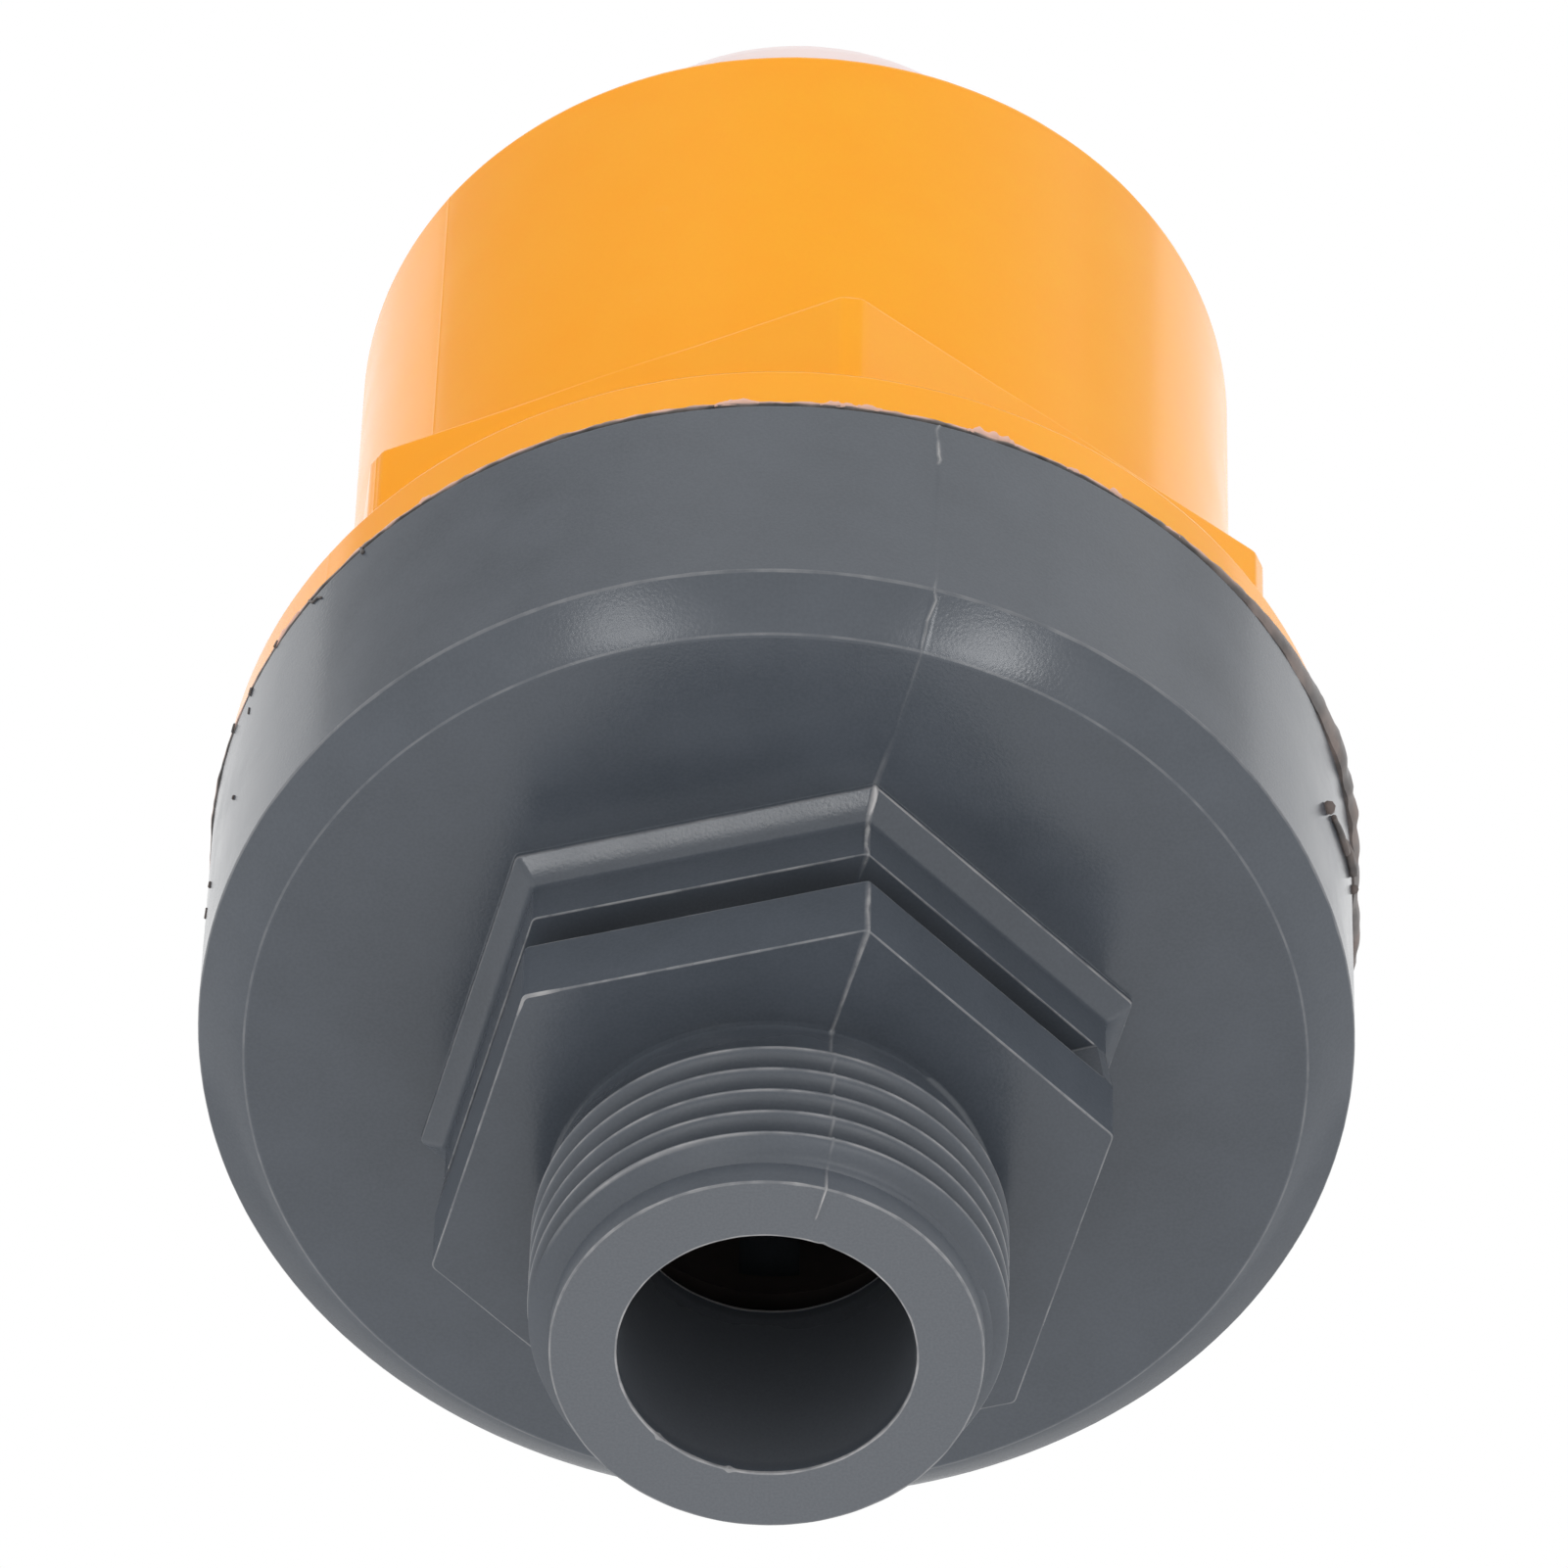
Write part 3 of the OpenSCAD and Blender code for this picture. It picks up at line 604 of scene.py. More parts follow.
# The end face was rubbed on a fitting, so it is paler between its worn edges
height = axes_of(tree, where)["Z"]
rubbed = remap(tree, height, 0.05 * MM, 0.2 * MM, 1.0, 0.0)
rubbed = calculate(tree, "SUBTRACT", rubbed, wear_and_shading)
grained = remap(tree, noise_value(tree, where, 6500.0, 3.0), 0.35, 0.65)
matt = blend_colour(tree, grained, (0.104, 0.114, 0.130, 1), (0.119, 0.130, 0.147, 1))
put(tree, shader.inputs["Base Color"], blend_colour(tree, rubbed, colour, matt))
# The nozzle is less glossy than the rest
gloss = shader.inputs["Roughness"].links[0].from_socket
nozzle = remap(tree, height, z_run_out * MM, z_hex * MM, nozzle_roughness, 0.0)
put(tree, shader.inputs["Roughness"], calculate(tree, "ADD", gloss, nozzle))

add_piece(loft_mesh("inlet_moulding", base_rings, base_angles), grey_plastic, "grey_plastic", "inlet_base")

# Float cage and float
# The cage is a near-black moulding clamped between the shells, and the float is two shells of the same
# plastic welded round the middle. Only the cage's sleeve and the float's underside show, through the bore.
dark_plastic = moulded_plastic(
    "dark_polypropylene", colours=((0.030, 0.024, 0.022, 1), (0.046, 0.036, 0.033, 1), (0.06, 0.05, 0.05, 1)),
    pale=(0.09, 0.08, 0.08, 1), roughness=0.45, wear_amount=0.5,
    skin_values={"Speck_Share": 0.01, "Scuff_Share": 0.3})[0]


def dress(material, *names):
    """Gives CAD nodes that keep their shape a finish."""
    for name in names:
        mesh = frame["nodes"][name].data
        mesh.materials.clear()
        mesh.materials.append(material)


dress(dark_plastic, "float_cage", "float_lower_shell", "float_upper_shell")

# Plug, orifice seat and float stem
# Natural acetal, moulded and left glossy, so that the sealing faces stay smooth. The seat is pressed into
# the roof.
acetal = moulded_plastic(
    "natural_acetal", colours=((0.70, 0.69, 0.64, 1), (0.76, 0.75, 0.71, 1), (0.66, 0.65, 0.60, 1)),
    pale=(0.82, 0.81, 0.78, 1), roughness=0.28, wear_amount=0.4, grain=0.1,
    skin_values={"Speck_Share": 0.0, "Scuff_Share": 0.2})[0]
translucent(acetal, 0.1, (1.0, 0.9, 0.7), 1.0)
dress(acetal, "kinetic_plug", "orifice_seat", "float_stem")

# Seals
# Black moulded rubber: two O-rings, the plug's flat ring and the stem's nib, each held in a groove or pocket.
rubber = moulded_plastic(
    "black_rubber", colours=((0.017, 0.017, 0.018, 1), (0.026, 0.026, 0.027, 1), (0.04, 0.04, 0.04, 1)),
    pale=(0.06, 0.06, 0.06, 1), roughness=0.62, wear_amount=0.5, grain=0.5,
    skin_values={"Speck_Share": 0.02, "Scuff_Share": 0.3, "Grain_Scale": 8000.0})[0]
dress(rubber, "seat_o_ring", "plug_seal", "nozzle_o_ring", "nib_seal")


# Small orifice, retainer clip and insect screen
# The orifice is turned in brass and pressed into the plug. The clip and the screen are stamped stainless
# steel.
def worked_metal(name, colours, roughness):
    """Bare metal with fine tool marks and a little uneven gloss."""
    material, tree, shader, where = new_material(name)
    skin = use_group(
        tree, moulded_skin, Vector=where, Mottle_Scale=400.0, Grain_Scale=9000.0, Speck_Share=0.0)
    colour = blend_colour(tree, skin["Tone"], colours[0], colours[1])
    put(tree, shader.inputs["Base Color"], colour)
    shader.inputs["Metallic"].default_value = 1.0
    marks = calculate(tree, "ADD", roughness, calculate(tree, "MULTIPLY", skin["Scuff"], 0.3))
    put(tree, shader.inputs["Roughness"], marks)
    emboss(tree, shader, skin["Grain"], 0.15, 0.01)
    return material


dress(worked_metal("turned_brass", ((0.66, 0.47, 0.20, 1), (0.76, 0.56, 0.26, 1)), 0.28), "air_nozzle")
dress(worked_metal("stainless_steel", ((0.52, 0.52, 0.53, 1), (0.62, 0.62, 0.62, 1)), 0.32),
      "retainer_clip", "vent_screen")

# Upper shell
# The orange upper half, one moulding in slightly translucent polypropylene: flange, hexagon collar, round
# wall, roof and outlet spigot. Ribs inside guide the plug. Its mould also parts along two corners of its
# hexagon.
shell_low, shell_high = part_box("upper_body")
z_spigot = shell_high.z / MM
z_skirt = shell_low.z / MM
spigot_h = 9.5
roof_t = 3.5
z_top = z_spigot - spigot_h
z_roof = z_top - roof_t
outlet_r = 9.5
groove_r = 11.4
groove_h = 1.55
z_groove = z_roof + groove_h
inner_r = 22.7
guide_r = 22.25
guide_half = 0.8
guide_h = 17.1
z_guide = z_roof - guide_h
z_shoulder = 45.5
shoulder_chamfer = 1.5
skirt_inner_r = 27.2
skirt_r = 28.8
flange_r = shell_high.x / MM
flange_taper = 0.2
flange_top_r = flange_r - flange_taper
z_flange = 48.5
collar_af = 51.6
collar_corner_r = 29.45
collar_round = 0.3
collar_turn = 5.9
z_collar = 60.2
wall_r = 25.7
roof_edge = 0.3
spigot_r = 12.0
bead_r = 12.6
bead_drop = 3.0
z_bead = z_spigot - bead_drop
bead_land = 0.8
bead_h = 1.4
shell_fins = (collar_turn - 60, collar_turn + 120)
shell_fin_height = 0.03
shell_fin = 0.6

guide_turn = 30 - collar_turn
guide_edge = math.degrees(math.asin(guide_half / guide_r))
near_collar = (0.12, 0.3, 0.6, 1.05, 1.4, 2.2, 3.4, 5.0)
guide_offsets = [guide_turn + side * guide_edge * share for side in (-1, 1) for share in (0.5, 1.0, 1.05)]
shell_offsets = [0, *near_collar, *(-o for o in near_collar), *guide_offsets]
shell_angles = corner_angles(collar_turn, [*shell_offsets, *range(7, 22, 2), *range(27, 55, 2)])
collar = [min(r, collar_corner_r) for r in hexagon(collar_af, collar_round, collar_turn, shell_angles)]
guided = [guide_r if abs(a % 60 - 30) <= guide_edge + 0.01 else inner_r for a in shell_angles]
shell_outline = [
    (outlet_r, z_spigot, 0.2, 0, 0), (outlet_r, z_groove, 0, 0, 0), (groove_r, z_groove, 0, 0, 0),
    (groove_r, z_roof, 0.1, 0, 0), (guided, z_roof, 0.3, 0, 0), (guided, z_guide, 0, 0, 0),
    (inner_r, z_guide, 0, 0, 0), (inner_r, z_shoulder + shoulder_chamfer, 0.1, 0, 0),
    (inner_r + shoulder_chamfer, z_shoulder, 0.1, 0, 0), (skirt_inner_r, z_shoulder, 0.2, 0, 0),
    (skirt_inner_r, z_skirt, 0.1, 0, 0), (skirt_r, z_skirt, 0.1, 0, 0), (skirt_r, z_weld, 0, 0, 0),
    (rim_r - weld_groove, z_weld, 0.05, 0, 0), (flange_r, z_weld + weld_groove, 0.06, 0, shell_fin),
    (flange_top_r, z_flange, 0.25, 0.03, shell_fin), (collar, z_flange, 0.2, 0, shell_fin),
    (collar, z_collar, 0.2, 0, shell_fin), (wall_r, z_collar, 0.1, 0, shell_fin),
    (wall_r, z_top, roof_edge, 0.4, shell_fin), (spigot_r, z_top, 0.4, 0, 0), (spigot_r, z_bead, 0, 0, 0),
    (bead_r, z_bead, 0.1, 0, 0), (bead_r, z_bead + bead_land, 0.1, 0, 0),
    (spigot_r, z_bead + bead_h, 0, 0, 0), (spigot_r, z_spigot, 0.3, 0, 0)
]
orange_plastic, tree, shader, where, colour = moulded_plastic(
    "orange_polypropylene",
    colours=((1.0, 0.385, 0.002, 1), (1.0, 0.405, 0.003, 1), (0.97, 0.34, 0.002, 1)),
    pale=(1.0, 0.50, 0.14, 1), roughness=0.17, wear_amount=0.35, grain=0.12,
    skin_values={"Speck_Share": 0.008, "Scuff_Share": 0.04})
# Painted shade: the orange is painted redder and darker on the left, where less light falls, and yellower on
# the right
left_shade_from = 4
left_shade_to = -26
left_shade_share = 0.4
left = remap(tree, axes_of(tree, where)["X"], left_shade_from * MM, left_shade_to * MM, 0.0, left_shade_share)
put(tree, shader.inputs["Base Color"], blend_colour(tree, left, colour, (1.0, 0.32, 0.002, 1)))
shader.inputs["IOR"].default_value = 1.41
shader.inputs["Specular Tint"].default_value = (1.0, 0.5, 0.12, 1)
translucent(orange_plastic, 0.15, (1.0, 0.35, 0.05), 2.0)
shell_rings = loft_rings(shell_outline, shell_angles, shell_fins, shell_fin_height)
shell_mesh = loft_mesh("upper_moulding", shell_rings, shell_angles)
add_piece(shell_mesh, orange_plastic, "orange_plastic", "upper_body")

# Weld flash
# The two shells are spun together until they melt, and the melt is squeezed out as a ragged bead in mixed
# brown, grey and pink. It is a thin line in front and a thick rope on the right, and here and there it
# hangs off in flakes and drips.
weld_material, tree, shader, where = new_material("mixed_weld_flash")
streaks = noise_value(tree, where, 480.0, 4.0)
body = blend_colour(tree, remap(tree, streaks, 0.38, 0.62), (0.075, 0.065, 0.062, 1), (0.19, 0.15, 0.135, 1))
# Thin melt is pale and pink, and painted shade makes the bead darker where it turns under
wear_and_shading = wear_and_painted_light(tree)
body = blend_colour(tree, remap(tree, wear_and_shading, 0.0, -1.0), body, (0.012, 0.010, 0.009, 1))
put(tree, shader.inputs["Base Color"], blend_colour(tree, wear_and_shading, body, (0.84, 0.50, 0.38, 1)))
put(tree, shader.inputs["Roughness"], remap(tree, streaks, 0.3, 0.7, 0.32, 0.6))
emboss(tree, shader, noise_value(tree, where, 2600.0, 3.0), 0.4, 0.05)

bead_sides = 10
bead_angles = [step * 0.5 for step in range(720)]
bead_proud = 0.08
bead_half_h = 0.26
bead_lift = 0.05
bead_sunk = 0.42
bead_seat = 0.05
# Angles where the bead swells on the left, and where the rope starts, is full, gets knobs, fades and ends
left_swell_at = -86
left_swell_w = 10
left_swell = 0.1
rope_start = 36
rope_full = 68
rope_growth = 1.6
rope_fade = 20
rope_end = 128
rope_rise = 2.0
rope_proud = 0.2
knob_start = 66
knob_run = 10
knob_proud = 0.3
# From here to here the rope leaves the rim in a straight line
tail_start = 89
tail_end = 105
tail_fade = 3


def wander(angle, turns, seed):
    """Smooth noise round the axis that closes on itself, from about -1 to 1."""
    turn = math.radians(angle)
    return noise.noise(Vector((math.cos(turn) * turns, math.sin(turn) * turns, seed)))


def bead_ring(side):
    """One line of points round the bead: thin in most places and thick on the right."""
    around = 2 * math.pi * side / bead_sides
    ring = []
    for angle in bead_angles:
        grown = held((angle - rope_start) / (rope_full - rope_start))
        faded = held((rope_end - angle) / rope_fade)
        rope = grown ** rope_growth * faded
        rough = 1 + 0.4 * wander(angle, 14, 1.0) + 0.3 * wander(angle, 45, 2.0)
        swell = left_swell * nearness(angle, left_swell_at, left_swell_w)
        knobs = held((angle - knob_start) / knob_run) * faded
        along = math.radians(held(angle - tail_start, 0.0, tail_end - tail_start))
        tail = rim_r * (1 / math.cos(along) - 1) * held((tail_end + tail_fade - angle) / tail_fade)
        proud = (bead_proud + swell) * rough + rope_proud * min(2 * rope, 1.0) + tail
        proud += knob_proud * knobs * (1 + 0.9 * wander(angle, 30, 1.5))
        ragged = 0.6 * wander(angle, 22, 3.0) + 0.7 * wander(angle, 60, 8.0)
        half_h = bead_half_h * (1 + ragged) + 0.5 * rope_rise * rope
        lift = bead_lift + 0.08 * wander(angle, 30, 4.0) + 0.5 * rope_rise * rope
        sunk = rim_r - bead_sunk
        reach = rim_r - bead_seat + proud - sunk
        radius = sunk + reach * (0.5 + 0.5 * math.cos(around))
        upper = math.sin(around)
        pinkish = held(0.75 + 1.6 * wander(angle, 26, 5.0)) * held(upper + 0.75)
        # Painted shade: the underside of the bead is painted darker
        under_shade = held(0.8 + 1.4 * wander(angle, 18, 9.0)) * max(-1.6 * upper, 0.0)
        tone = (pinkish - under_shade) * (1 - min(3 * rope, 1.0))
        ring.append((radius, z_weld + lift + half_h * upper, held(tone, -1.0, 0.9), 0.0))
    return ring


bead_rings = [bead_ring(side) for side in range(bead_sides)]
add_piece(loft_mesh("weld_bead", bead_rings, bead_angles), weld_material, "weld_flash", "weld_flash")

# Flakes of thin melt stand up against the flange above the bead: where each starts and ends, and its height
flakes = (
    (-8.0, -3.6, 0.5), (2.4, 8.8, 0.55), (17.2, 23.0, 0.7), (-40, -38.5, 0.3), (33, 34.6, 0.4),
    (-63, -58, 0.3), (118, 131, 0.6), (150, 158, 0.5), (192, 207, 0.55), (228, 236, 0.6),
    (262, 270, 0.45), (28, 29.5, 0.35), (40, 42, 0.35))
flake_t = 0.09
flake_step = 0.25
flake_steps_least = 6
flake_sunk = 0.1
flake_foot = 0.05
flake_least = 0.02


def wrap_rows(shape, rows):
    """Faces round a strand, from each ring of its points to the next."""
    for low, high in zip(rows, rows[1:]):
        for k in range(len(low)):
            shape.faces.new((low[k], low[k - 1], high[k - 1], high[k]))


def flake(shape, wear_and_shading, start, end, rise):
    """A thin ragged wall of melt that leans out from the bead."""
    steps = max(int((end - start) / flake_step), flake_steps_least)
    inner = rim_r - flake_sunk
    foot = z_weld - flake_foot
    rows = []
    for step in range(steps + 1):
        angle = start + (end - start) * step / steps
        taper = math.sqrt(max(math.sin(math.pi * step / steps), 0.0))
        ragged = 0.55 + 0.5 * wander(angle, 70, 6.0) + 0.5 * wander(angle, 150, 6.5)
        z_tip = z_weld + (rise * taper * max(ragged, 0.1) + flake_least)
        lean = 0.1 + 0.1 * wander(angle, 50, 7.0)
        corners = ((inner, foot, 0.5), (inner + flake_t, foot, 0.5),
                   (inner + flake_t + lean, z_tip, 1.0), (inner + lean, z_tip, 1.0))
        rows.append([worn_point(shape, wear_and_shading, polar(angle, r, z), pale) for r, z, pale in corners])
    wrap_rows(shape, rows)
    shape.faces.new(rows[0])
    shape.faces.new(rows[-1][::-1])


shape, wear_and_shading = new_shape()
for start, end, rise in flakes:
    flake(shape, wear_and_shading, start, end, rise)
add_piece(closed_mesh("weld_flakes", shape), weld_material, "weld_flash")

# Drips hang from the bead and lie on the rim: (angle, height) along each, its half width and its end's one
drips = (
    (((70.3, 37.2), (69.65, 36.96)), 0.3, 0.42), (((81.8, 40.0), (79.2, 39.3), (76.4, 38.7)), 0.33, 0.22),
    (((77.4, 38.5), (74.4, 37.95), (71.6, 37.5)), 0.25, 0.18),
    (((84.5, 40.3), (84.0, 40.1)), 0.22, 0.32), (((-47.9, 44.5), (-47.6, 43.9)), 0.1, 0.12),
    (((-62.3, 44.7), (-63.0, 44.6)), 0.09, 0.08), (((-68.5, 44.5), (-69.0, 44.2)), 0.09, 0.09),
    (((-68.9, 42.9), (-69.0, 42.4)), 0.05, 0.06), (((-73.5, 44.7), (-74.4, 44.6)), 0.1, 0.09),
    (((-56.2, 44.5), (-55.5, 43.9), (-54.6, 43.8), (-54.0, 43.4)), 0.09, 0.07),
    (((-71.7, 36.45), (-71.9, 36.3)), 0.08, 0.09), (((-81.1, 35.25), (-81.4, 35.0)), 0.08, 0.1),
    (((-83.5, 34.6), (-84.5, 34.4)), 0.06, 0.08),
    (((152, 44.4), (153.5, 42.6), (156, 41.2), (157, 40.6)), 0.14, 0.24),
    (((-128, 44.4), (-127, 42.8), (-124.6, 41.9)), 0.12, 0.2))
drip_sides = 8
drip_steps = 4
drip_swell = 2.2
drip_ragged = 0.25
drip_grain = 1500
drip_tip = 0.8
# Painted shade: the drips are painted darker
drip_shade = -0.3


def drip(shape, wear_and_shading, path, half_w, end_half_w):
    """A rounded strand of melt along a path on the rim, with a swollen end."""
    smooth = []
    for (angle, height), (next_angle, next_height) in zip(path, path[1:]):
        for step in range(drip_steps):
            share = step / drip_steps
            smooth.append((angle + (next_angle - angle) * share, height + (next_height - height) * share))
    smooth.append(path[-1])
    points = [polar(angle, rim_r + 0.5 * half_w, height) for angle, height in smooth]
    rows = []
    last = len(points) - 1
    for index, point in enumerate(points):
        along = (points[min(index + 1, last)] - points[max(index - 1, 0)]).normalized()
        outward = Vector((point.x, point.y, 0)).normalized()
        across = along.cross(outward).normalized()
        swell = math.exp(-((last - index) / drip_swell) ** 2)
        ragged = 1 + drip_ragged * noise.noise(point * drip_grain)
        width = half_w * ragged + (end_half_w - half_w) * swell
        row = []
        for side in range(drip_sides):
            turn = 2 * math.pi * side / drip_sides
            place = point + (across * math.cos(turn) + outward * math.sin(turn)) * width * MM
            row.append(worn_point(shape, wear_and_shading, place, drip_shade))
        rows.append(row)
    wrap_rows(shape, rows)
    ends = ((rows[0], points[0] - points[1], half_w), (rows[-1], points[-1] - points[-2], end_half_w))
    for row, ahead, width in ends:
        centre = sum((vert.co for vert in row), Vector()) / drip_sides
        tip = shape.verts.new(centre + ahead.normalized() * width * drip_tip * MM)
        for k in range(drip_sides):
            shape.faces.new((row[k - 1], row[k], tip))


shape, wear_and_shading = new_shape()
for path, half_w, end_half_w in drips:
    drip(shape, wear_and_shading, path, half_w, end_half_w)
add_piece(closed_mesh("weld_drips", shape), weld_material, "weld_flash")

# Vent cap
# A white moulding that snaps over the spigot. Six ribs hold it off the screen, so that air leaves under its
# skirt, and six hooks inside the skirt catch the spigot's bead.
cap_low, cap_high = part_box("vent_cap")
cap_r = cap_high.x / MM
z_cap_foot = cap_low.z / MM
z_cap_top = cap_high.z / MM
cap_wall = 1.8
cap_top_t = 2.4
cap_inner_r = cap_r - cap_wall
z_cap_under = z_cap_top - cap_top_t
cap_copies = 6
rib_inner_r = 8.1
rib_w = 1.4
rib_gap = 0.05
z_rib_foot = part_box("vent_screen")[1].z / MM + rib_gap
hook_w = 6.0
hook_h = 1.6
hook_inner_r = 12.2
hook_gap = 0.2
hook_turn = 30
z_hook = z_bead - hook_gap - hook_h
# How far ribs and hooks reach into the skirt and the top
into_skirt = 0.9
into_top = 1.2
cap_angles = [step * 2.5 for step in range(144)]
cap_outline = [
    (cap_inner_r, z_cap_under, 0.4, 0, 0), (cap_inner_r, z_cap_foot, 0.15, 0, 0),
    (cap_r, z_cap_foot, 0.2, 0.3, 0), (cap_r, z_cap_top, 0.8, 0, 0), (0.0, z_cap_top, 0, 0, 0),
    (0.0, z_cap_under, 0, 0, 0)
]
white_plastic = moulded_plastic(
    "white_polypropylene", colours=((0.86, 0.75, 0.745, 1), (0.90, 0.78, 0.775, 1), (0.83, 0.71, 0.71, 1)),
    pale=(0.92, 0.86, 0.86, 1), roughness=0.34, wear_amount=0.4, grain=0.1,
    skin_values={"Speck_Share": 0.0, "Scuff_Share": 0.1})[0]
translucent(white_plastic, 0.1, (1.0, 0.9, 0.8), 1.0)
cap_shell = loft_mesh("vent_cap_moulding", loft_rings(cap_outline, cap_angles), cap_angles)


def block_round_axis(tree, count, size, centre, turn):
    """Copies of a block round the axis, from sockets for its size and middle and the first one's angle."""
    block = tree.nodes.new("GeometryNodeMeshCube")
    put(tree, block.inputs["Size"], size)
    moved = tree.nodes.new("GeometryNodeTransform")
    put(tree, moved.inputs["Geometry"], block.outputs["Mesh"])
    put(tree, moved.inputs["Translation"], centre)
    line = tree.nodes.new("GeometryNodeMeshLine")
    put(tree, line.inputs["Count"], count)
    line.inputs["Offset"].default_value = (0, 0, 0)
    index = tree.nodes.new("GeometryNodeInputIndex")
    step = tree.nodes.new("ShaderNodeMath")
    step.operation = "DIVIDE"
    step.inputs[0].default_value = 2 * math.pi
    put(tree, step.inputs[1], count)
    angle = tree.nodes.new("ShaderNodeMath")
    angle.operation = "MULTIPLY_ADD"
    put(tree, angle.inputs[0], index.outputs[0])
    put(tree, angle.inputs[1], step.outputs[0])
    angle.inputs[2].default_value = math.radians(turn)
    spin = tree.nodes.new("ShaderNodeCombineXYZ")
    put(tree, spin.inputs["Z"], angle.outputs[0])
    copies = tree.nodes.new("GeometryNodeInstanceOnPoints")
    put(tree, copies.inputs["Points"], line.outputs["Mesh"])
    put(tree, copies.inputs["Instance"], moved.outputs["Geometry"])
    put(tree, copies.inputs["Rotation"], spin.outputs[0])
    return copies.outputs["Instances"]


cap_tree = bpy.data.node_groups.new("cap_ribs_and_hooks", "GeometryNodeTree")
cap_inputs = {}
for label, kind in (("Shell", "Geometry"), ("Count", "Int"), ("Rib Size", "Vector"), ("Rib Centre", "Vector"),
                    ("Hook Size", "Vector"), ("Hook Centre", "Vector"), ("Finish", "Material")):
    socket = cap_tree.interface.new_socket(label, in_out="INPUT", socket_type="NodeSocket" + kind)
    cap_inputs[label] = socket.identifier
cap_tree.interface.new_socket("Cap", in_out="OUTPUT", socket_type="NodeSocketGeometry")
given = cap_tree.nodes.new("NodeGroupInput").outputs
joined = cap_tree.nodes.new("GeometryNodeJoinGeometry")
ribs = block_round_axis(cap_tree, given["Count"], given["Rib Size"], given["Rib Centre"], 0)
hooks = block_round_axis(cap_tree, given["Count"], given["Hook Size"], given["Hook Centre"], hook_turn)
for geometry in (given["Shell"], ribs, hooks):
    cap_tree.links.new(geometry, joined.inputs[0])
solid = cap_tree.nodes.new("GeometryNodeRealizeInstances")
put(cap_tree, solid.inputs[0], joined.outputs[0])
finish = cap_tree.nodes.new("GeometryNodeSetMaterial")
put(cap_tree, finish.inputs["Geometry"], solid.outputs[0])
put(cap_tree, finish.inputs["Material"], given["Finish"])
put(cap_tree, cap_tree.nodes.new("NodeGroupOutput").inputs[0], finish.outputs[0])


def in_metres(*sizes):
    """Sizes in millimetres, turned into metres."""
    return tuple(size * MM for size in sizes)


def grown_mesh(mesh, tree, values):
    """The plain mesh that a Geometry Nodes tree makes of another, with its inputs set by identifier."""
    source = bpy.data.objects.new("source", mesh)
    bpy.context.scene.collection.objects.link(source)
    modifier = source.modifiers.new("grow", "NODES")
    modifier.node_group = tree
    for identifier, value in values:
        modifier[identifier] = value
    ready = source.evaluated_get(bpy.context.evaluated_depsgraph_get())
    grown = bpy.data.meshes.new_from_object(ready)
    source.modifiers.remove(modifier)
    bpy.data.objects.remove(source)
    return grown


rib_reach = cap_inner_r + into_skirt - rib_inner_r
rib_h = z_cap_under + into_top - z_rib_foot
hook_reach = cap_inner_r + into_skirt - hook_inner_r
cap_mesh = grown_mesh(cap_shell, cap_tree, (
    (cap_inputs["Count"], cap_copies),
    (cap_inputs["Rib Size"], in_metres(rib_reach, rib_w, rib_h)),
    (cap_inputs["Rib Centre"], in_metres(rib_inner_r + rib_reach / 2, 0, z_rib_foot + rib_h / 2)),
    (cap_inputs["Hook Size"], in_metres(hook_reach, hook_w, hook_h)),
    (cap_inputs["Hook Centre"], in_metres(hook_inner_r + hook_reach / 2, 0, z_hook + hook_h / 2)),
    (cap_inputs["Finish"], white_plastic)))
cap_mesh.name = "vent_cap_whole"
add_piece(cap_mesh, white_plastic, "white_plastic", "vent_cap")

# Floor
# A plain pale floor just under the inlet's end face. It is seen from above only, with the valve's shadow, and
# from below the camera looks through it.
floor_size = 3.0
floor_level = -0.2 * MM
shape = bmesh.new()
bmesh.ops.create_grid(shape, x_segments=1, y_segments=1, size=floor_size)
floor_mesh = bpy.data.meshes.new("floor")
shape.to_mesh(floor_mesh)
shape.free()
floor_mesh.transform(Matrix.Translation((0, 0, floor_level)))
floor = bpy.data.objects.new("floor", floor_mesh)
bpy.context.scene.collection.objects.link(floor)
floor_material, tree, shader = new_material("pale_floor")[:3]
shader.inputs["Base Color"].default_value = (0.86, 0.86, 0.86, 1)
shader.inputs["Roughness"].default_value = 0.9
ray = tree.nodes.new("ShaderNodeLightPath")
facing = tree.nodes.new("ShaderNodeNewGeometry")
front = calculate(tree, "SUBTRACT", ray.outputs["Is Camera Ray"], facing.outputs["Backfacing"])
clear = tree.nodes.new("ShaderNodeBsdfTransparent")
choice = tree.nodes.new("ShaderNodeMixShader")
put(tree, choice.inputs[0], front)
tree.links.new(clear.outputs[0], choice.inputs[1])
tree.links.new(shader.outputs[0], choice.inputs[2])
tree.links.new(choice.outputs[0], tree.nodes["Material Output"].inputs["Surface"])
floor_mesh.materials.append(floor_material)

# Studio light
# A white tent all round, as in a product photo, and a tall lamp on each side of the camera. The lamps only
# show in the gloss.
world = bpy.data.worlds.new("white_tent")
bpy.context.scene.world = world
world.use_nodes = True
background = world.node_tree.nodes["Background"]
background.inputs["Color"].default_value = (1, 1, 1, 1)
background.inputs["Strength"].default_value = 1.0

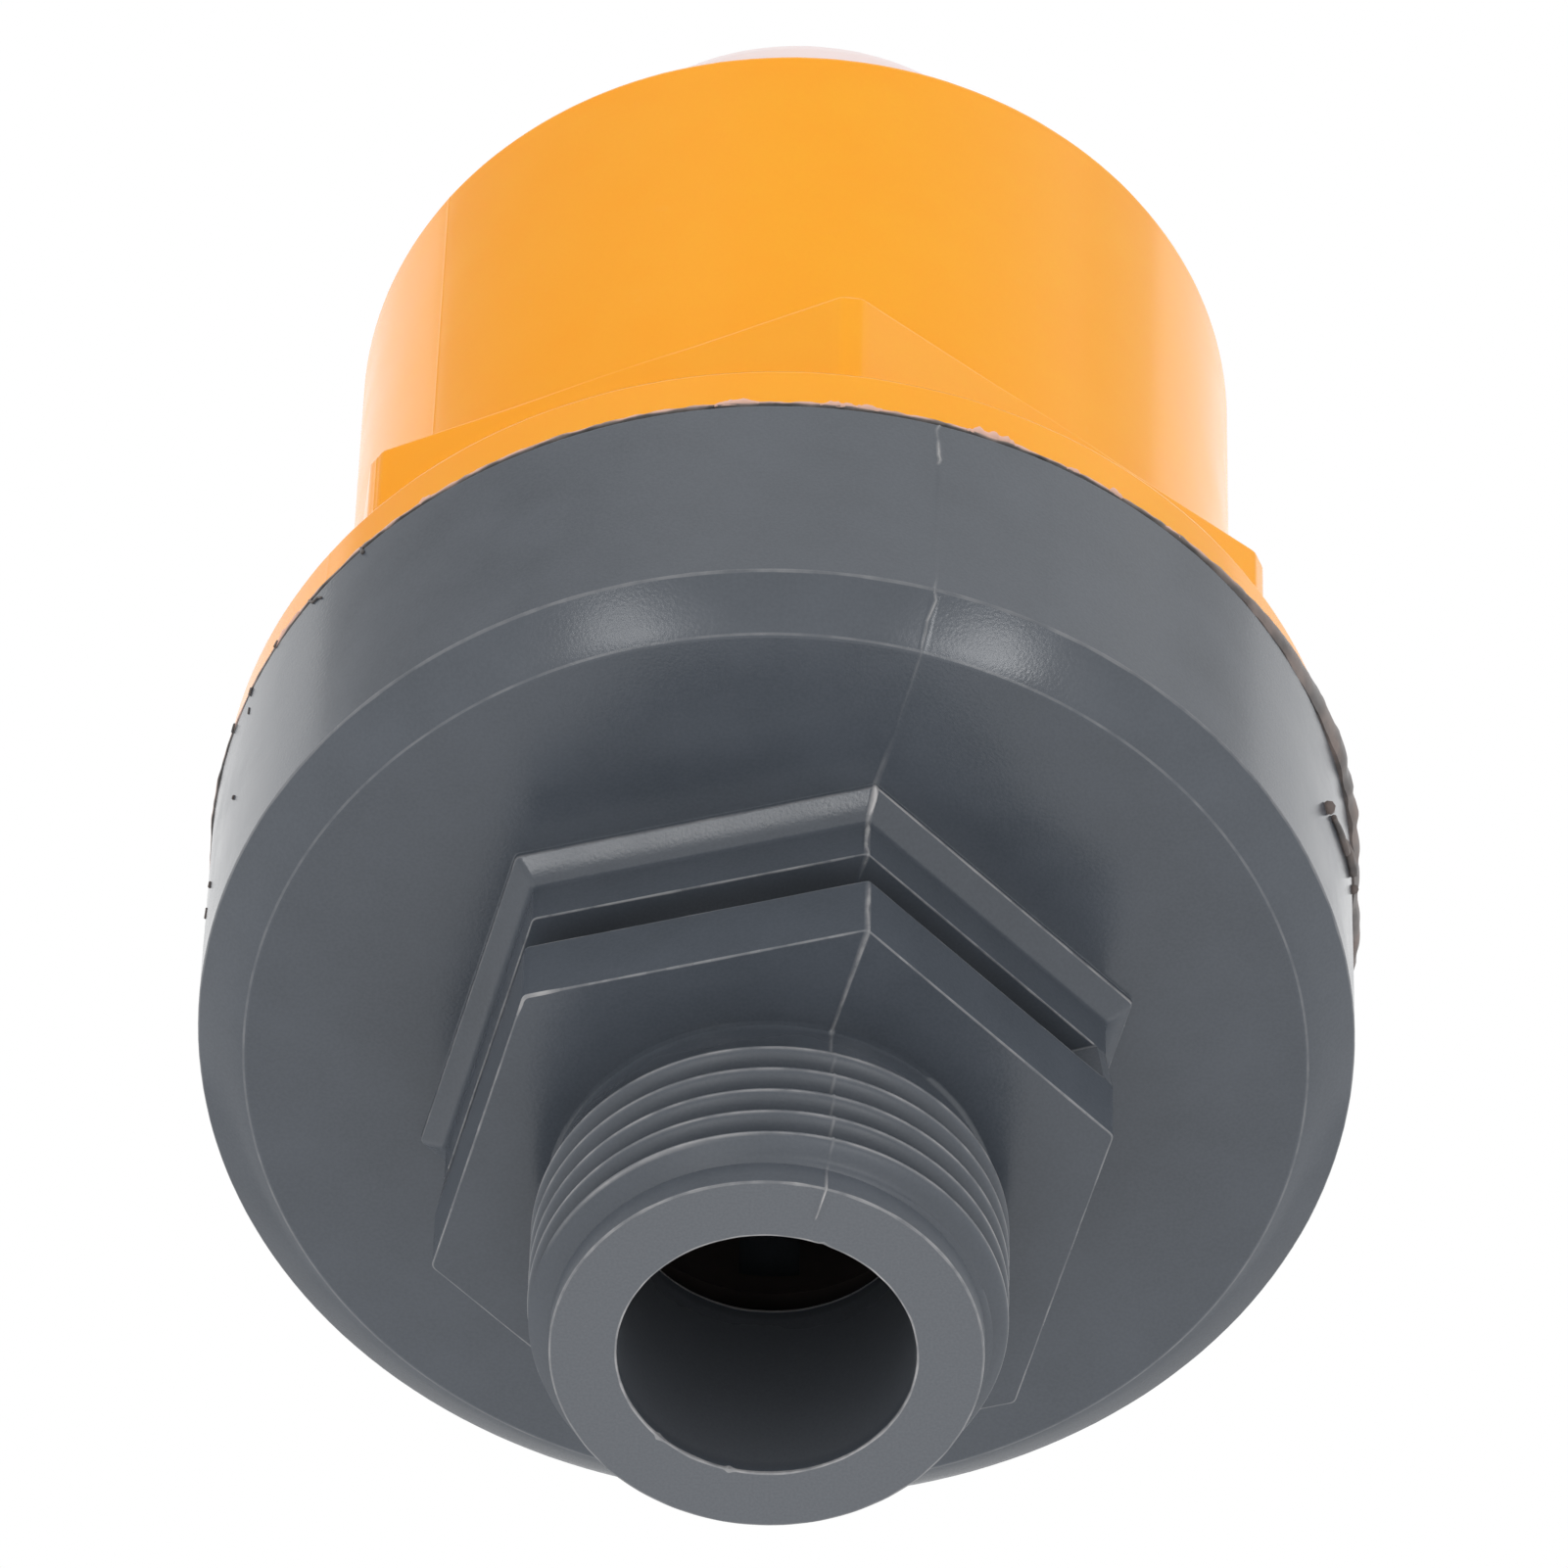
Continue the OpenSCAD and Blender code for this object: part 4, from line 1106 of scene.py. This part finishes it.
# Where each lamp stands, in metres, and its power in watts
lamps = ((-0.30, -0.50, -0.54, 0.55), (0.37, -0.47, -0.54, 0.8))
lamp_width = 0.13
lamp_height = 0.32
lamp_aim = Vector((0, 0, 0.03))
for number, (x, y, z, power) in enumerate(lamps):
    lamp = bpy.data.lights.new(f"soft_lamp_{number}", "AREA")
    lamp.shape = "ELLIPSE"
    lamp.size = lamp_width
    lamp.size_y = lamp_height
    lamp.energy = power
    holder = bpy.data.objects.new(lamp.name, lamp)
    holder.location = (x, y, z)
    holder.visible_diffuse = False
    holder.rotation_euler = (lamp_aim - holder.location).to_track_quat("-Z", "Y").to_euler()
    bpy.context.scene.collection.objects.link(holder)

# Cards
# They hang in the tent and show in the gloss and nowhere else: a bright one overhead behind, and grey ones
# overhead on the left and on the right, and low down behind. Each has its tone, the places on X where that
# starts and is full, and its corners in metres.
card_z = 0.5
card_y = 0.085
cards = (
    ("bright_card", 1.17, 2.0, 1.0,
     ((-0.6, card_y, card_z), (0.6, card_y, card_z), (0.6, 0.62, card_z), (-0.6, 0.62, card_z))),
    ("left_card", 0.48, -0.12, -0.31,
     ((-0.42, -0.42, card_z), (-0.12, -0.42, card_z), (-0.12, card_y, card_z), (-0.42, card_y, card_z))),
    ("right_card", 0.72, 0.16, 0.3,
     ((0.16, -0.06, card_z), (0.42, -0.06, card_z), (0.42, card_y, card_z), (0.16, card_y, card_z))),
    ("back_card", 0.5, -2.0, -1.0,
     ((-0.7, 0.6, 0.05), (0.7, 0.6, 0.05), (0.7, 0.6, 0.45), (-0.7, 0.6, 0.45))))
for name, tone, fade_from, fade_to, corners in cards:
    shape = bmesh.new()
    shape.faces.new([shape.verts.new(corner) for corner in corners])
    card_mesh = bpy.data.meshes.new(name)
    shape.to_mesh(card_mesh)
    shape.free()
    card_material, tree, shader, where = new_material(name)
    fade = remap(tree, axes_of(tree, where)["X"], fade_from, fade_to)
    shade = blend_colour(tree, fade, (1, 1, 1, 1), (tone, tone, tone, 1))
    put(tree, shader.inputs["Emission Color"], shade)
    shader.inputs["Emission Strength"].default_value = 1.0
    shader.inputs["Base Color"].default_value = (0, 0, 0, 1)
    shader.inputs["Specular IOR Level"].default_value = 0.0
    card_mesh.materials.append(card_material)
    card = bpy.data.objects.new(name, card_mesh)
    card.visible_camera = False
    card.visible_diffuse = False
    card.visible_transmission = False
    card.visible_shadow = False
    bpy.context.scene.collection.objects.link(card)

# Camera
# It looks up at the inlet from in front and below. The photo is square, and the angles were fitted to the
# valve's edges in it.
camera_data = bpy.data.cameras.new("camera")
camera_data.sensor_width = 36.0
camera_data.lens = 343.17
camera_data.clip_start = 0.01
camera = bpy.data.objects.new("camera", camera_data)
aim = Vector((0, 0, 0.035))
distance = 0.845
below = math.radians(53.43)
tilt = math.radians(0.728)
roll = math.radians(1.746)
away = Vector((0, -math.cos(below), -math.sin(below)))
camera.location = aim + away * distance
camera.rotation_mode = "QUATERNION"
camera.rotation_quaternion = (
    (-away).to_track_quat("-Z", "Y") @ Quaternion((1, 0, 0), tilt) @ Quaternion((0, 0, 1), roll))
bpy.context.scene.collection.objects.link(camera)
bpy.context.scene.camera = camera
bpy.context.scene.view_settings.view_transform = "Standard"

bpy.context.view_layer.update()
